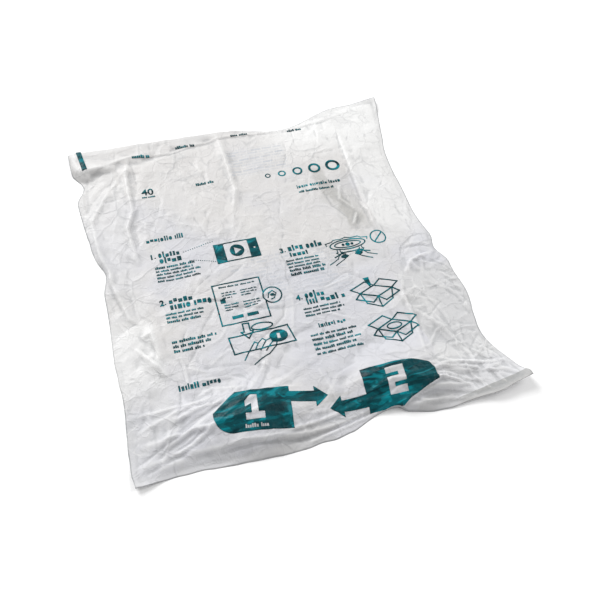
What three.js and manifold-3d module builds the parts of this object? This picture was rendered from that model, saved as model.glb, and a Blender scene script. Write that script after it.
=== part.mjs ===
// An instant foam packaging bag, lying as it comes out of its carton: a flat pack of
// white film, sealed all round, with its top edge rolled forward into a hem, two liquid
// pouches bulging near its lower end, and teal print on its face.
//
// Millimetres, +Z up. X runs across the bag and Y along it, towards the rolled hem.
// The origin lies under the middle of the bag, on the surface that it rests on.

import * as THREE from 'three';
import { mergeVertices } from 'three/addons/utils/BufferGeometryUtils.js';
import Module from 'manifold-3d';

const wasm = await Module();
wasm.setup();

// Driving sizes.

const BAG_WIDTH = 375;
const BAG_LENGTH = 414;
const SEAL_THICKNESS = 1.2;
const SEAL_WIDTH = 7;
const SLACK_HEIGHT = 3.6;
const SLACK_RISE = 36;

const POUCH_LENGTH = 128;
const POUCH_WIDTH = 88;
const POUCH_HEIGHT = 13;
const POUCH_SPREAD = 146;
const POUCH_FROM_BOTTOM = 43;
const POUCH_CROWN = 1.25;

const HEM_WIDTH = 42;
const HEM_REACH = 250;
const HEM_HEIGHT = 7.5;
const HEM_ROUND = 9;
const HEM_WALL = 2;
const HEM_THINNING = 0.6;
const HEM_NARROWING = 1.3;
const HEM_TUCK = 2;

const FLANGE_CURL = 11;
const FLANGE_CURL_REACH = 104;
const FLANGE_BAND = 21;
const CORNER_CURL = 5;
const CORNER_CURL_REACH = 34;
const CURL_WIDTH = 12.5;

const INK_GAP = 0.3;
const INK_THICKNESS = 0.3;
const LINE_WIDTH = 2;

const FOLD_SHARPNESS = 1.4;

const FILM_COLOUR = 0xe9e9e7;
const INK_COLOUR = 0x00727a;

// How finely the film is divided across and along. The curled rim takes the outer rings.

const COLUMNS = 58;
const ROWS = 64;
const RIM_RINGS = 2;

const halfWidth = BAG_WIDTH / 2;
const halfLength = BAG_LENGTH / 2;

function smooth(share) {
  return THREE.MathUtils.smoothstep(share, 0, 1);
}

// How far the edges of the pack are drawn in where it is crumpled. Each draw has its
// place along the edge as a share of the half side, its depth and how far it reaches.

const LEFT_DRAWS = [
  { at: 0.75, depth: 10, reach: 22 },
  { at: 0.13, depth: 6, reach: 26 },
  { at: -0.02, depth: 8, reach: 150 },
  { at: -0.62, depth: 4, reach: 60 },
];
const RIGHT_DRAWS = [
  { at: 0.6, depth: 15, reach: 90 },
  { at: 0.12, depth: 25, reach: 130 },
  { at: -0.16, depth: 8, reach: 20 },
  { at: -0.4, depth: 13, reach: 62 },
  { at: -0.7, depth: 22, reach: 62 },
];
const BOTTOM_DRAWS = [
  { at: -0.8, depth: 7, reach: 96 },
  { at: 0.22, depth: 10, reach: 58 },
  { at: 1, depth: 6, reach: 40 },
];
const TOP_DRAWS = [
  { at: -0.75, depth: 10, reach: 190 },
  { at: 0, depth: 8, reach: 120 },
  { at: 0.34, depth: 19, reach: 76 },
];

function drawnIn(draws, along, halfSide) {
  let depth = 0;
  for (const draw of draws) {
    const share = Math.min(1, Math.abs(along - draw.at * halfSide) / draw.reach);
    depth += draw.depth * 0.5 * (1 + Math.cos(Math.PI * share));
  }
  return depth;
}

const leftEdge = (y) => -halfWidth + drawnIn(LEFT_DRAWS, y, halfLength);
const rightEdge = (y) => halfWidth - drawnIn(RIGHT_DRAWS, y, halfLength);
const bottomEdge = (x) => -halfLength + drawnIn(BOTTOM_DRAWS, x, halfWidth);
const topEdge = (x) => halfLength - drawnIn(TOP_DRAWS, x, halfWidth);

// Creases and gathers in the film. A path is given in shares of the half width and the
// half length. Its flanks fall off over the two widths, left and right of its direction,
// so a folded edge has one short flank and one long. A trough has a height below 0.

const CREASES = [
  // The two upright creases below the hem.
  { path: [[-0.66, 0.86], [-0.7, 0.7], [-0.71, 0.46], [-0.76, 0.36], [-0.75, 0.12]],
    height: 4.2, left: 9, right: 20 },
  { path: [[-0.1, 0.93], [-0.11, 0.48], [-0.16, 0.34]], height: 4, left: 16, right: 9 },
  // The folded edge of the upper ply down the left side, and the tuck at its foot.
  { path: [[-0.9, 0.62], [-0.95, 0.5], [-0.94, 0.22], [-0.9, 0], [-0.86, -0.17], [-0.8, -0.22]],
    height: 3.2, left: 30, right: 8 },
  { path: [[-0.82, -0.29], [-0.77, -0.27], [-0.76, -0.42]], height: 3, left: 14, right: 9 },
  { path: [[-0.86, -0.33], [-0.73, -0.53]], height: 3.4, left: 10, right: 12 },
  // The slanting crease between the hem and the left side.
  { path: [[-0.8, 0.66], [-0.95, 0.46]], height: 2.2, left: 10, right: 12 },
  // The long shallow folds above the bottom seal.
  { path: [[-0.96, -0.66], [-0.72, -0.67], [-0.56, -0.68]], height: 1.8, left: 9, right: 12 },
  { path: [[-0.74, -0.89], [-0.48, -0.91], [-0.2, -0.94], [0.1, -0.93]],
    height: 2.4, left: 12, right: 9 },
  // The right edge of the foam liner, and the stiff kink above it.
  { path: [[0.62, -0.27], [0.57, -0.36], [0.56, -0.55], [0.52, -0.74]],
    height: 2.6, left: 9, right: 18 },
  { path: [[0.63, -0.27], [0.7, -0.2], [0.84, -0.17]], height: 3.4, left: 10, right: 12 },
  // The crumpled line across the right margin.
  { path: [[0.58, -0.47], [0.68, -0.6], [0.71, -0.68], [0.78, -0.84]],
    height: 3, left: 9, right: 11 },
  // The shallow troughs and the small ridge in the upper right.
  { path: [[0.35, 0.48], [0.41, 0.16]], height: -1.6, left: 18, right: 18 },
  { path: [[0.2, 0.86], [0.3, 0.62]], height: -1.4, left: 16, right: 16 },
  { path: [[0.62, 0.24], [0.62, 0.06]], height: 1.6, left: 10, right: 10 },
];

// Gathers fan out from each pouch to the corner below it. Each fan runs from a short
// line at the pouch to another at the corner, in the same shares.

const FANS = [
  { from: [[-0.56, -0.68], [-0.6, -0.86]], to: [[-0.97, -0.76], [-0.9, -0.91]],
    folds: 3, height: 3.6, flank: 9 },
  { from: [[0.55, -0.8], [0.32, -0.95]], to: [[0.93, -0.9], [0.45, -0.98]],
    folds: 3, height: 3.4, flank: 9 },
];

function between(a, b, share) {
  return [a[0] + (b[0] - a[0]) * share, a[1] + (b[1] - a[1]) * share];
}

function fanCreases(fan) {
  const creases = [];
  for (let fold = 0; fold < fan.folds; fold += 1) {
    const share = fold / (fan.folds - 1);
    const path = [
      between(fan.from[0], fan.from[1], share),
      between(fan.to[0], fan.to[1], share),
    ];
    creases.push({ path, height: fan.height, left: fan.flank, right: fan.flank });
  }
  return creases;
}

function measured(crease) {
  const points = crease.path.map(([x, y]) => new THREE.Vector2(x * halfWidth, y * halfLength));
  const starts = [0];
  for (let i = 1; i < points.length; i += 1) {
    starts.push(starts[i - 1] + points[i].distanceTo(points[i - 1]));
  }
  return { ...crease, points, starts, length: starts.at(-1) };
}

const creases = [...CREASES, ...FANS.flatMap(fanCreases)].map(measured);

// The rise of one crease at a point: full over the middle of its path, none at its ends.

function creaseRise(crease, x, y) {
  const place = new THREE.Vector2(x, y);
  let nearest = { distance: Infinity };
  for (let i = 1; i < crease.points.length; i += 1) {
    const start = crease.points[i - 1];
    const step = crease.points[i].clone().sub(start);
    const offset = place.clone().sub(start);
    const share = THREE.MathUtils.clamp(offset.dot(step) / step.lengthSq(), 0, 1);
    const distance = offset.distanceTo(step.clone().multiplyScalar(share));
    if (distance < nearest.distance) {
      const run = crease.starts[i - 1] + share * step.length();
      nearest = { distance, run, side: step.cross(offset) };
    }
  }
  const flank = nearest.side > 0 ? crease.left : crease.right;
  const across = Math.max(0, 1 - nearest.distance / flank);
  const taper = Math.sqrt(Math.max(0, Math.sin(Math.PI * nearest.run / crease.length)));
  return crease.height * across ** FOLD_SHARPNESS * taper;
}

// The pouches, as the film drapes over them.

function pouchRise(x, y) {
  let rise = 0;
  for (const side of [-1, 1]) {
    const across = (x - side * POUCH_SPREAD / 2) / (POUCH_LENGTH / 2);
    const along = (y + halfLength - POUCH_FROM_BOTTOM) / (POUCH_WIDTH / 2);
    const share = Math.max(0, 1 - across * across - along * along);
    rise += POUCH_HEIGHT * share ** POUCH_CROWN;
  }
  return rise;
}

// The hem is a wedge with rounded edges: wide and thick at the left end, gone after
// HEM_REACH.

const hemShare = (x) => THREE.MathUtils.clamp((x + halfWidth) / HEM_REACH, 0, 1);

function roundOver(distance) {
  const share = THREE.MathUtils.clamp(distance / HEM_ROUND, 0, 1);
  return Math.sqrt(share * (2 - share));
}

function hemRise(x, y) {
  const share = hemShare(x);
  const width = HEM_WIDTH * (1 - share) ** HEM_NARROWING;
  const crown = HEM_HEIGHT * (1 - HEM_THINNING * share) * smooth(width / HEM_ROUND);
  const fromTop = topEdge(x) - y;
  const fromEnd = x - leftEdge(y);
  return crown * roundOver(width - fromTop)
    * roundOver(fromTop + HEM_WALL) * roundOver(fromEnd + HEM_WALL);
}

// How far the thin rim stands up: along the right end of the bottom seal, under the
// rolled hem, and at the lower left and the upper right corner. The curl dies out within
// CURL_WIDTH of the edge.

function curl(x, y, inset) {
  const share = Math.max(0, 1 - inset / CURL_WIDTH);
  const low = smooth((FLANGE_BAND - (y + halfLength)) / SEAL_WIDTH);
  const flange = FLANGE_CURL * low * smooth(1 - (halfWidth - x) / FLANGE_CURL_REACH);
  const fromLowLeft = Math.hypot(x + halfWidth, y + halfLength);
  const fromTopRight = Math.hypot(x - halfWidth, y - halfLength);
  const corners = CORNER_CURL * (
    smooth(1 - fromLowLeft / CORNER_CURL_REACH) + smooth(1 - fromTopRight / CORNER_CURL_REACH)
  );
  const high = smooth(1 - (topEdge(x) - y) / CURL_WIDTH);
  const tuck = HEM_TUCK * high * (1 - hemShare(x));
  return (flange + corners + tuck) * share * share;
}

function filmThickness(x, y, inset) {
  const slack = SLACK_HEIGHT * smooth((inset - SEAL_WIDTH) / SLACK_RISE);
  const clearOfSeal = smooth(inset / SEAL_WIDTH);
  let folds = 0;
  for (const crease of creases) {
    folds += creaseRise(crease, x, y);
  }
  const loose = slack + (pouchRise(x, y) + folds) * clearOfSeal;
  return SEAL_THICKNESS + Math.max(0, loose) + hemRise(x, y);
}

// A place on the film, from its column and row.

function filmPlace(column, row) {
  const across = column / COLUMNS;
  const along = row / ROWS;
  const squareX = (across - 0.5) * BAG_WIDTH;
  const squareY = (along - 0.5) * BAG_LENGTH;
  const x = THREE.MathUtils.lerp(leftEdge(squareY), rightEdge(squareY), across);
  const y = THREE.MathUtils.lerp(bottomEdge(squareX), topEdge(squareX), along);
  const inset = Math.min(
    Math.min(across, 1 - across) * BAG_WIDTH,
    Math.min(along, 1 - along) * BAG_LENGTH,
  );
  return { x, y, inset };
}

// The pack is one closed solid: a draped face, a thin rim, and a flat underside whose
// outer rings follow the curl.

function bagSolid() {
  const positions = [];
  const faces = [];
  const face = [];
  const underside = [];
  for (let row = 0; row <= ROWS; row += 1) {
    for (let column = 0; column <= COLUMNS; column += 1) {
      const { x, y, inset } = filmPlace(column, row);
      const ring = Math.min(column, COLUMNS - column, row, ROWS - row);
      const lift = ring < RIM_RINGS ? curl(x, y, inset) : 0;
      face.push(positions.length / 3);
      positions.push(x, y, lift + filmThickness(x, y, inset));
      if (ring <= RIM_RINGS) {
        underside.push(positions.length / 3);
        positions.push(x, y, lift);
      } else {
        underside.push(-1);
      }
    }
  }
  const index = (column, row) => row * (COLUMNS + 1) + column;
  const height = (vertex) => positions[3 * vertex + 2];

  function addCell(grid, column, row, up) {
    const a = grid[index(column, row)];
    const b = grid[index(column + 1, row)];
    const c = grid[index(column + 1, row + 1)];
    const d = grid[index(column, row + 1)];
    const alongFold = Math.abs(height(a) - height(c)) < Math.abs(height(b) - height(d));
    const halves = alongFold ? [[a, b, c], [a, c, d]] : [[a, b, d], [b, c, d]];
    for (const half of halves) {
      faces.push(...(up ? half : half.reverse()));
    }
  }

  for (let row = 0; row < ROWS; row += 1) {
    for (let column = 0; column < COLUMNS; column += 1) {
      addCell(face, column, row, true);
      const ring = Math.min(column, COLUMNS - 1 - column, row, ROWS - 1 - row);
      if (ring < RIM_RINGS) {
        addCell(underside, column, row, false);
      }
    }
  }

  // One ring of grid places, anticlockwise as seen from above.
  function ringPlaces(ring) {
    const places = [];
    const lastColumn = COLUMNS - ring;
    const lastRow = ROWS - ring;
    for (let column = ring; column < lastColumn; column += 1) {
      places.push(index(column, ring));
    }
    for (let row = ring; row < lastRow; row += 1) {
      places.push(index(lastColumn, row));
    }
    for (let column = lastColumn; column > ring; column -= 1) {
      places.push(index(column, lastRow));
    }
    for (let row = lastRow; row > ring; row -= 1) {
      places.push(index(ring, row));
    }
    return places;
  }

  const rim = ringPlaces(0);
  for (let i = 0; i < rim.length; i += 1) {
    const here = rim[i];
    const next = rim[(i + 1) % rim.length];
    faces.push(underside[here], underside[next], face[next]);
    faces.push(underside[here], face[next], face[here]);
  }

  const restRing = ringPlaces(RIM_RINGS).map((place) => underside[place]);
  const outline = restRing.map((v) => new THREE.Vector2(positions[3 * v], positions[3 * v + 1]));
  for (const [a, b, c] of THREE.ShapeUtils.triangulateShape(outline, [])) {
    faces.push(restRing[c], restRing[b], restRing[a]);
  }
  return new wasm.Manifold(new wasm.Mesh({
    numProp: 3,
    vertProperties: new Float32Array(positions),
    triVerts: new Uint32Array(faces),
  }));
}

// The print: flat outlines, cut out of a thin layer that lies just above the film.

const CUTTER_HEIGHT = 2 * (SLACK_HEIGHT + POUCH_HEIGHT + HEM_HEIGHT + FLANGE_CURL);

function prism(shape) {
  const solid = new THREE.ExtrudeGeometry(shape, { depth: CUTTER_HEIGHT, bevelEnabled: false });
  solid.deleteAttribute('normal');
  solid.deleteAttribute('uv');
  const merged = mergeVertices(solid, 1e-4);
  return new wasm.Manifold(new wasm.Mesh({
    numProp: 3,
    vertProperties: new Float32Array(merged.attributes.position.array),
    triVerts: new Uint32Array(merged.index.array),
  }));
}

function polygon(points) {
  return new THREE.Shape(points.map(([x, y]) => new THREE.Vector2(x, y)));
}

function box(width, height, x = 0, y = 0) {
  const right = width / 2;
  const top = height / 2;
  return [[x - right, y - top], [x + right, y - top], [x + right, y + top], [x - right, y + top]];
}

function frame(width, height, hole) {
  const shape = polygon(box(width, height));
  shape.holes.push(polygon(hole));
  return shape;
}

function ring(radiusX, radiusY, x = 0, y = 0) {
  const shape = new THREE.Shape();
  shape.absellipse(x, y, radiusX, radiusY, 0, 2 * Math.PI);
  const hole = new THREE.Path();
  hole.absellipse(x, y, radiusX - LINE_WIDTH, radiusY - LINE_WIDTH, 0, 2 * Math.PI);
  shape.holes.push(hole);
  return shape;
}

// A straight line of print, a little longer at each end so that lines meeting there join.

function line(from, to) {
  const start = new THREE.Vector2(...from);
  const along = new THREE.Vector2(...to).sub(start);
  const length = along.length() + LINE_WIDTH;
  along.normalize();
  const corners = [];
  for (const [run, side] of [[0, -1], [1, -1], [1, 1], [0, 1]]) {
    const reach = run * length - LINE_WIDTH / 2;
    const offset = side * LINE_WIDTH / 2;
    corners.push([
      start.x + along.x * reach - along.y * offset,
      start.y + along.y * reach + along.x * offset,
    ]);
  }
  return polygon(corners);
}

// The two arrow fields over the pouches: a block with one round end, a plain numeral
// left bare in it, and an arrow that points to the other field.

const FIELD_LENGTH = 70;
const FIELD_HEIGHT = 41;
const FIELD_ROUND = 19;
const HEAD_LENGTH = 12;
const HEAD_WIDTH = 21;
const HEAD_CLEARANCE = 3;
const SHAFT_LENGTH = (POUCH_SPREAD - FIELD_LENGTH) / 2 - HEAD_LENGTH - HEAD_CLEARANCE;
const SHAFT_WIDTH = 11;
const SHAFT_OFFSET = 9.5;
const NUMERAL_HEIGHT = 25;
const NUMERAL_WIDTH = 17;
const NUMERAL_STROKE = 6;

function numeralOne() {
  const top = NUMERAL_HEIGHT / 2;
  const side = NUMERAL_STROKE / 2;
  const foot = NUMERAL_WIDTH / 2;
  return polygon([
    [side, top], [-side, top], [-foot, top - NUMERAL_STROKE],
    [-foot, top - 2 * NUMERAL_STROKE], [-side, top - NUMERAL_STROKE * 1.5],
    [-side, NUMERAL_STROKE - top], [-foot, NUMERAL_STROKE - top], [-foot, -top],
    [foot, -top], [foot, NUMERAL_STROKE - top], [side, NUMERAL_STROKE - top],
  ]);
}

function numeralTwo() {
  const top = NUMERAL_HEIGHT / 2;
  const side = NUMERAL_WIDTH / 2;
  const half = NUMERAL_STROKE / 2;
  return polygon([
    [-side, top], [side, top], [side, -half], [NUMERAL_STROKE - side, -half],
    [NUMERAL_STROKE - side, NUMERAL_STROKE - top], [side, NUMERAL_STROKE - top],
    [side, -top], [-side, -top], [-side, half], [side - NUMERAL_STROKE, half],
    [side - NUMERAL_STROKE, top - NUMERAL_STROKE], [-side, top - NUMERAL_STROKE],
  ]);
}

// The field with its arrow to the right. The other one is the same, half a turn round.

function arrowField() {
  const right = FIELD_LENGTH / 2;
  const top = FIELD_HEIGHT / 2;
  const neck = right + SHAFT_LENGTH;
  const shape = new THREE.Shape();
  shape.moveTo(right, -top);
  shape.lineTo(right, SHAFT_OFFSET - SHAFT_WIDTH / 2);
  shape.lineTo(neck, SHAFT_OFFSET - SHAFT_WIDTH / 2);
  shape.lineTo(neck, SHAFT_OFFSET - HEAD_WIDTH / 2);
  shape.lineTo(neck + HEAD_LENGTH, SHAFT_OFFSET);
  shape.lineTo(neck, SHAFT_OFFSET + HEAD_WIDTH / 2);
  shape.lineTo(neck, SHAFT_OFFSET + SHAFT_WIDTH / 2);
  shape.lineTo(right, SHAFT_OFFSET + SHAFT_WIDTH / 2);
  shape.lineTo(right, top);
  shape.lineTo(FIELD_ROUND - right, top);
  shape.absarc(FIELD_ROUND - right, top - FIELD_ROUND, FIELD_ROUND, Math.PI / 2, Math.PI);
  shape.absarc(FIELD_ROUND - right, FIELD_ROUND - top, FIELD_ROUND, Math.PI, Math.PI * 1.5);
  return shape;
}

// An open carton in lines, seen from above one corner, with its four flaps folded out.

const CARTON_RIM = { side: 17, depth: 7 };
const CARTON_WALL = 13;
const CARTON_TAPER = 0.8;
const CARTON_FLAP = { out: 8, up: 6 };

function cartonLines() {
  const { side, depth } = CARTON_RIM;
  const { out, up } = CARTON_FLAP;
  const west = [-side, 0];
  const north = [0, depth];
  const east = [side, 0];
  const south = [0, -depth];
  const lines = [[west, north], [north, east], [east, south], [south, west]];
  for (const corner of [west, south, east]) {
    lines.push([corner, [corner[0] * CARTON_TAPER, corner[1] - CARTON_WALL]]);
  }
  const lowSouth = [0, -depth - CARTON_WALL];
  lines.push([[-side * CARTON_TAPER, -CARTON_WALL], lowSouth]);
  lines.push([lowSouth, [side * CARTON_TAPER, -CARTON_WALL]]);
  for (const way of [-1, 1]) {
    const flapCorner = [way * (side + out), up];
    const flapTop = [way * out, depth + up];
    lines.push([[way * side, 0], flapCorner], [flapCorner, flapTop], [flapTop, north]);
  }
  return lines.map(([from, to]) => line(from, to));
}

// Each print has its place in millimetres from the middle of the bag's width and from
// the bottom seal, and its turn in degrees. A shift is from the pouch or the column that
// the print belongs to. Its shapes join into one piece.

const LEFT_FIELD_SHIFT = { x: -2, up: 1 };
const RIGHT_FIELD_SHIFT = { x: -9, up: -10 };
const LEFT_FIELD = {
  x: -POUCH_SPREAD / 2 + LEFT_FIELD_SHIFT.x,
  up: POUCH_FROM_BOTTOM + LEFT_FIELD_SHIFT.up,
  turn: -9,
};
const RIGHT_FIELD = {
  x: POUCH_SPREAD / 2 + RIGHT_FIELD_SHIFT.x,
  up: POUCH_FROM_BOTTOM + RIGHT_FIELD_SHIFT.up,
  turn: 175,
};
const STRIPE = { length: 32, width: 5.5, fromEnd: 13.5, fromTop: 24, turn: 95.5 };
const COLUMN_LEFT = -111;
const COLUMN_RIGHT = 19;
const PICTURE_LEFT = -44;
const PICTURE_RIGHT = 81;
const PRINT_TURN = -1.5;

const CARD = { width: 46, height: 25, screen: 25, shift: 4, up: 225 };
const SHEET = { width: 48, height: 49, shift: -9, up: 163 };
const LENS_RADIUS = 10;
const PAD = { width: 60, height: 20, disc: 8, up: 114 };
const STOP = { radius: 9, shift: 28, up: 204 };
const BURST = { across: 20, along: 7, shift: -7, up: 203 };
const OPEN_CARTON = { shift: 0, up: 141 };
const FULL_CARTON = { shift: 2, up: 97 };

const BAR = { width: 34, height: 4.5 };
const UPPER_SIDE_UP = 258;
const LOWER_SIDE_UP = 82;
const LEFT_STEPS_UP = [234, 175, 130];
const RIGHT_STEPS_UP = [209, 145, 105];

function barAt(name, x, up) {
  return { name, x, up, shapes: [polygon(box(BAR.width, BAR.height))] };
}

function slash(radius) {
  const reach = radius * Math.SQRT1_2;
  return line([-reach, -reach], [reach, reach]);
}

const PRINTS = [
  { name: 'left_field', ...LEFT_FIELD, shapes: [arrowField()], bare: numeralOne() },
  { name: 'right_field', ...RIGHT_FIELD, shapes: [arrowField()], bare: numeralTwo(),
    bareTurn: 180 },
  { name: 'end_stripe', x: STRIPE.fromEnd - halfWidth, up: BAG_LENGTH - STRIPE.fromTop,
    turn: STRIPE.turn, shapes: [polygon(box(STRIPE.length, STRIPE.width))] },
  { name: 'card_picture', x: PICTURE_LEFT + CARD.shift, up: CARD.up,
    shapes: [frame(CARD.width, CARD.height, box(CARD.screen, CARD.height - 2 * LINE_WIDTH))] },
  { name: 'sheet_picture', x: PICTURE_LEFT + SHEET.shift, up: SHEET.up,
    shapes: [
      frame(SHEET.width, SHEET.height, box(SHEET.width - 2 * LINE_WIDTH, SHEET.height - 2 * LINE_WIDTH)),
      ring(LENS_RADIUS, LENS_RADIUS, SHEET.width / 2 + LENS_RADIUS - LINE_WIDTH, 0),
    ] },
  { name: 'pad_picture', x: PICTURE_LEFT, up: PAD.up,
    shapes: [
      frame(PAD.width, PAD.height, box(PAD.width - 2 * LINE_WIDTH, PAD.height - 2 * LINE_WIDTH)),
      ring(PAD.disc, PAD.height / 2, PAD.width / 4, 0),
    ] },
  { name: 'burst_picture', x: PICTURE_RIGHT + BURST.shift, up: BURST.up,
    shapes: [ring(BURST.across, BURST.along)] },
  { name: 'stop_picture', x: PICTURE_RIGHT + STOP.shift, up: STOP.up,
    shapes: [ring(STOP.radius, STOP.radius), slash(STOP.radius - LINE_WIDTH / 2)] },
  { name: 'open_carton_picture', x: PICTURE_RIGHT + OPEN_CARTON.shift, up: OPEN_CARTON.up,
    shapes: cartonLines() },
  { name: 'full_carton_picture', x: PICTURE_RIGHT + FULL_CARTON.shift, up: FULL_CARTON.up,
    shapes: cartonLines() },
  barAt('upper_side_bar', COLUMN_LEFT, UPPER_SIDE_UP),
  barAt('lower_side_bar', COLUMN_LEFT, LOWER_SIDE_UP),
  ...LEFT_STEPS_UP.map((up, k) => barAt(`step_${k + 1}_bar`, COLUMN_LEFT, up)),
  ...RIGHT_STEPS_UP.map((up, k) => barAt(`step_${LEFT_STEPS_UP.length + k + 1}_bar`, COLUMN_RIGHT, up)),
];

const bag = bagSolid();
const aboveInk = bag.translate([0, 0, INK_GAP + INK_THICKNESS]);
const belowInk = bag.translate([0, 0, INK_GAP]);

function printSolid(print) {
  const turn = print.turn ?? PRINT_TURN;
  let cutter = print.shapes.map(prism).reduce((whole, next) => whole.add(next));
  if (print.bare) {
    const through = prism(print.bare).rotate([0, 0, print.bareTurn ?? 0]);
    cutter = cutter.subtract(through);
  }
  const placed = cutter.rotate([0, 0, turn]).translate([print.x, print.up - halfLength, 0]);
  return placed.intersect(aboveInk).subtract(belowInk);
}

const filmMaterial = new THREE.MeshStandardMaterial({
  color: FILM_COLOUR,
  roughness: 0.45,
  metalness: 0,
});
const inkMaterial = new THREE.MeshStandardMaterial({
  color: INK_COLOUR,
  roughness: 0.4,
  metalness: 0,
});

function meshOf(name, solid, material) {
  const { vertProperties, triVerts } = solid.getMesh();
  const geometry = new THREE.BufferGeometry();
  geometry.setAttribute('position', new THREE.BufferAttribute(vertProperties, 3));
  geometry.setIndex(new THREE.BufferAttribute(triVerts, 1));
  geometry.computeVertexNormals();
  const mesh = new THREE.Mesh(geometry, material);
  mesh.name = name;
  return mesh;
}

const group = new THREE.Group();
group.name = 'instant_foam_bag';
group.add(meshOf('bag', bag, filmMaterial));
for (const print of PRINTS) {
  group.add(meshOf(print.name, printSolid(print), inkMaterial));
}

export default group;
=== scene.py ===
"""Dresses the instant foam packaging bag: crumpled film over its pouches, and its print."""

import math
import random

import bmesh
import bpy
import numpy as np
from bpy.props import FloatProperty, FloatVectorProperty, IntProperty, PointerProperty
from mathutils import Matrix, Vector, noise
from mathutils.bvhtree import BVHTree
from mathutils.geometry import delaunay_2d_cdt


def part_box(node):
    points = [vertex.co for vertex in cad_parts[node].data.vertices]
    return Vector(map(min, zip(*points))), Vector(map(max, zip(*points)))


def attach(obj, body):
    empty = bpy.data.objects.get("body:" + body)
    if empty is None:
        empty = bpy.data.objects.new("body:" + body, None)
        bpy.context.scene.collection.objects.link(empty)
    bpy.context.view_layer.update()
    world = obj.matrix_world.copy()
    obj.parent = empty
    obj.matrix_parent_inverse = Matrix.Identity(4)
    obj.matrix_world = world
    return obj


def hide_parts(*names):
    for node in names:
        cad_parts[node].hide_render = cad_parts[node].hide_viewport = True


bl_info = {
    "name": "Instant foam packaging bag",
    "version": (1, 0, 0),
    "blender": (4, 5, 0),
    "location": "View3D > Sidebar > Foam Bag",
    "description": "Builds the crumpled film bag and its print around the packed solids",
    "category": "Add Mesh",
}

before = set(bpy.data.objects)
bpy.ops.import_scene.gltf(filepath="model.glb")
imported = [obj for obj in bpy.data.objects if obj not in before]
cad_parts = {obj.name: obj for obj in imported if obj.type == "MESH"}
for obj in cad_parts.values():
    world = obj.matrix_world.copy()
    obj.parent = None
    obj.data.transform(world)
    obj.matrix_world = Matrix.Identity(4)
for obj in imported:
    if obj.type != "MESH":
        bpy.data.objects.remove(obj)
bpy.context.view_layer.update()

MM = 0.001
DOWN = Vector((0, 0, -1))
UP = Vector((0, 0, 1))

# How finely the two plies are divided. The back ply has half as many divisions.
COLUMNS = 264
ROWS = 292

# The cloth run: how much larger than life it is, and the held strip along the edge.
RUN_SCALE = 10
HOLD_WIDTH = 6 * MM
HOLD_LEVELS = 20

# The cloth's own settings.
CLOTH = {"quality": 6, "mass": 0.02, "tension_stiffness": 18, "compression_stiffness": 18,
         "shear_stiffness": 9, "bending_stiffness": 0.02, "bending_damping": 0.4,
         "air_damping": 1}

# The uneven pull that starts the buckling: its cell for each step of the grid, its strength,
# and the passes of blur that part a crumple from the broad form.
DRIFT_CELL = 12.5 * MM
DRIFT_STRENGTH = 0.8 * MM
BROAD_PASSES = 70

BAG_LOW, BAG_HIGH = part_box("bag")
HALF_WIDTH = (BAG_HIGH[0] - BAG_LOW[0]) / 2
HALF_LENGTH = (BAG_HIGH[1] - BAG_LOW[1]) / 2


class FilmSettings(bpy.types.PropertyGroup):
    """The film that the bag is made of."""

    face_colour: FloatVectorProperty(
        name="Film colour", description="The printed face over the white liner",
        subtype="COLOR", size=3, min=0, max=1, default=(0.62, 0.608, 0.60))
    cool_colour: FloatVectorProperty(
        name="Cool patches", description="Where the plies cling and look bluer",
        subtype="COLOR", size=3, min=0, max=1, default=(0.575, 0.578, 0.612))
    margin_colour: FloatVectorProperty(
        name="Margin colour", description="Beyond the liner, where the film is see-through",
        subtype="COLOR", size=3, min=0, max=1, default=(0.575, 0.575, 0.575))
    # Painted light: the tint laid on the upper right corner and right edge, a lit patch, glints,
    # the lower left side and fold crests.
    painted_light_colour: FloatVectorProperty(
        name="Painted light", description="Painted light on the upper right, on glints and on fold crests",
        subtype="COLOR", size=3, min=0, max=1, default=(0.76, 0.76, 0.755))
    ghost_colour: FloatVectorProperty(
        name="Ghost print", description="The back's print, seen through the film",
        subtype="COLOR", size=3, min=0, max=1, default=(0.42, 0.45, 0.50))
    # The cut edge's own grey, also painted as shade along creases and in fold hollows.
    edge_and_crease_shade_colour: FloatVectorProperty(
        name="Cut edge and crease shade", description="The cut edge of the plies, and painted shade in creases and fold hollows",
        subtype="COLOR", size=3, min=0, max=1, default=(0.30, 0.31, 0.32))
    # Painted shade: the darker patch below the rings, its deeper middle, and the gathers by the
    # seal.
    painted_shade_colour: FloatVectorProperty(
        name="Painted shade", description="Painted shade below the rings and in the gathers by the seal",
        subtype="COLOR", size=3, min=0, max=1, default=(0.385, 0.38, 0.362))
    # Painted shade on the folded strip at the lower right, whose underside faces away from the
    # lamps.
    strip_shade_colour: FloatVectorProperty(
        name="Strip shade", description="Painted shade on the folded strip at the lower right",
        subtype="COLOR", size=3, min=0, max=1, default=(0.37, 0.37, 0.365))
    growth: FloatProperty(
        name="Slack", description="How much longer the film is than the space it lies in",
        min=0, max=0.1, default=0.03)
    fine_crumple: FloatProperty(
        name="Fine crumple", description="Share of the fine cloth run that is kept",
        min=0, max=2, default=0.7)
    broad_crumple: FloatProperty(
        name="Broad crumple", description="Share of the broad cloth run that is kept",
        min=0, max=2, default=0.6)
    fold_cap: FloatProperty(
        name="Fold height", description="The most that a crumple may rise or sink",
        subtype="DISTANCE", unit="LENGTH", min=0, max=0.01, default=0.004)
    rim: FloatProperty(
        name="Rim thickness", description="The plies at the sealed edge",
        subtype="DISTANCE", unit="LENGTH", min=0.0001, max=0.002, default=0.0004)
    frames: IntProperty(
        name="Crumple steps", description="Steps of the cloth run", min=1, max=60, default=20)


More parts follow.
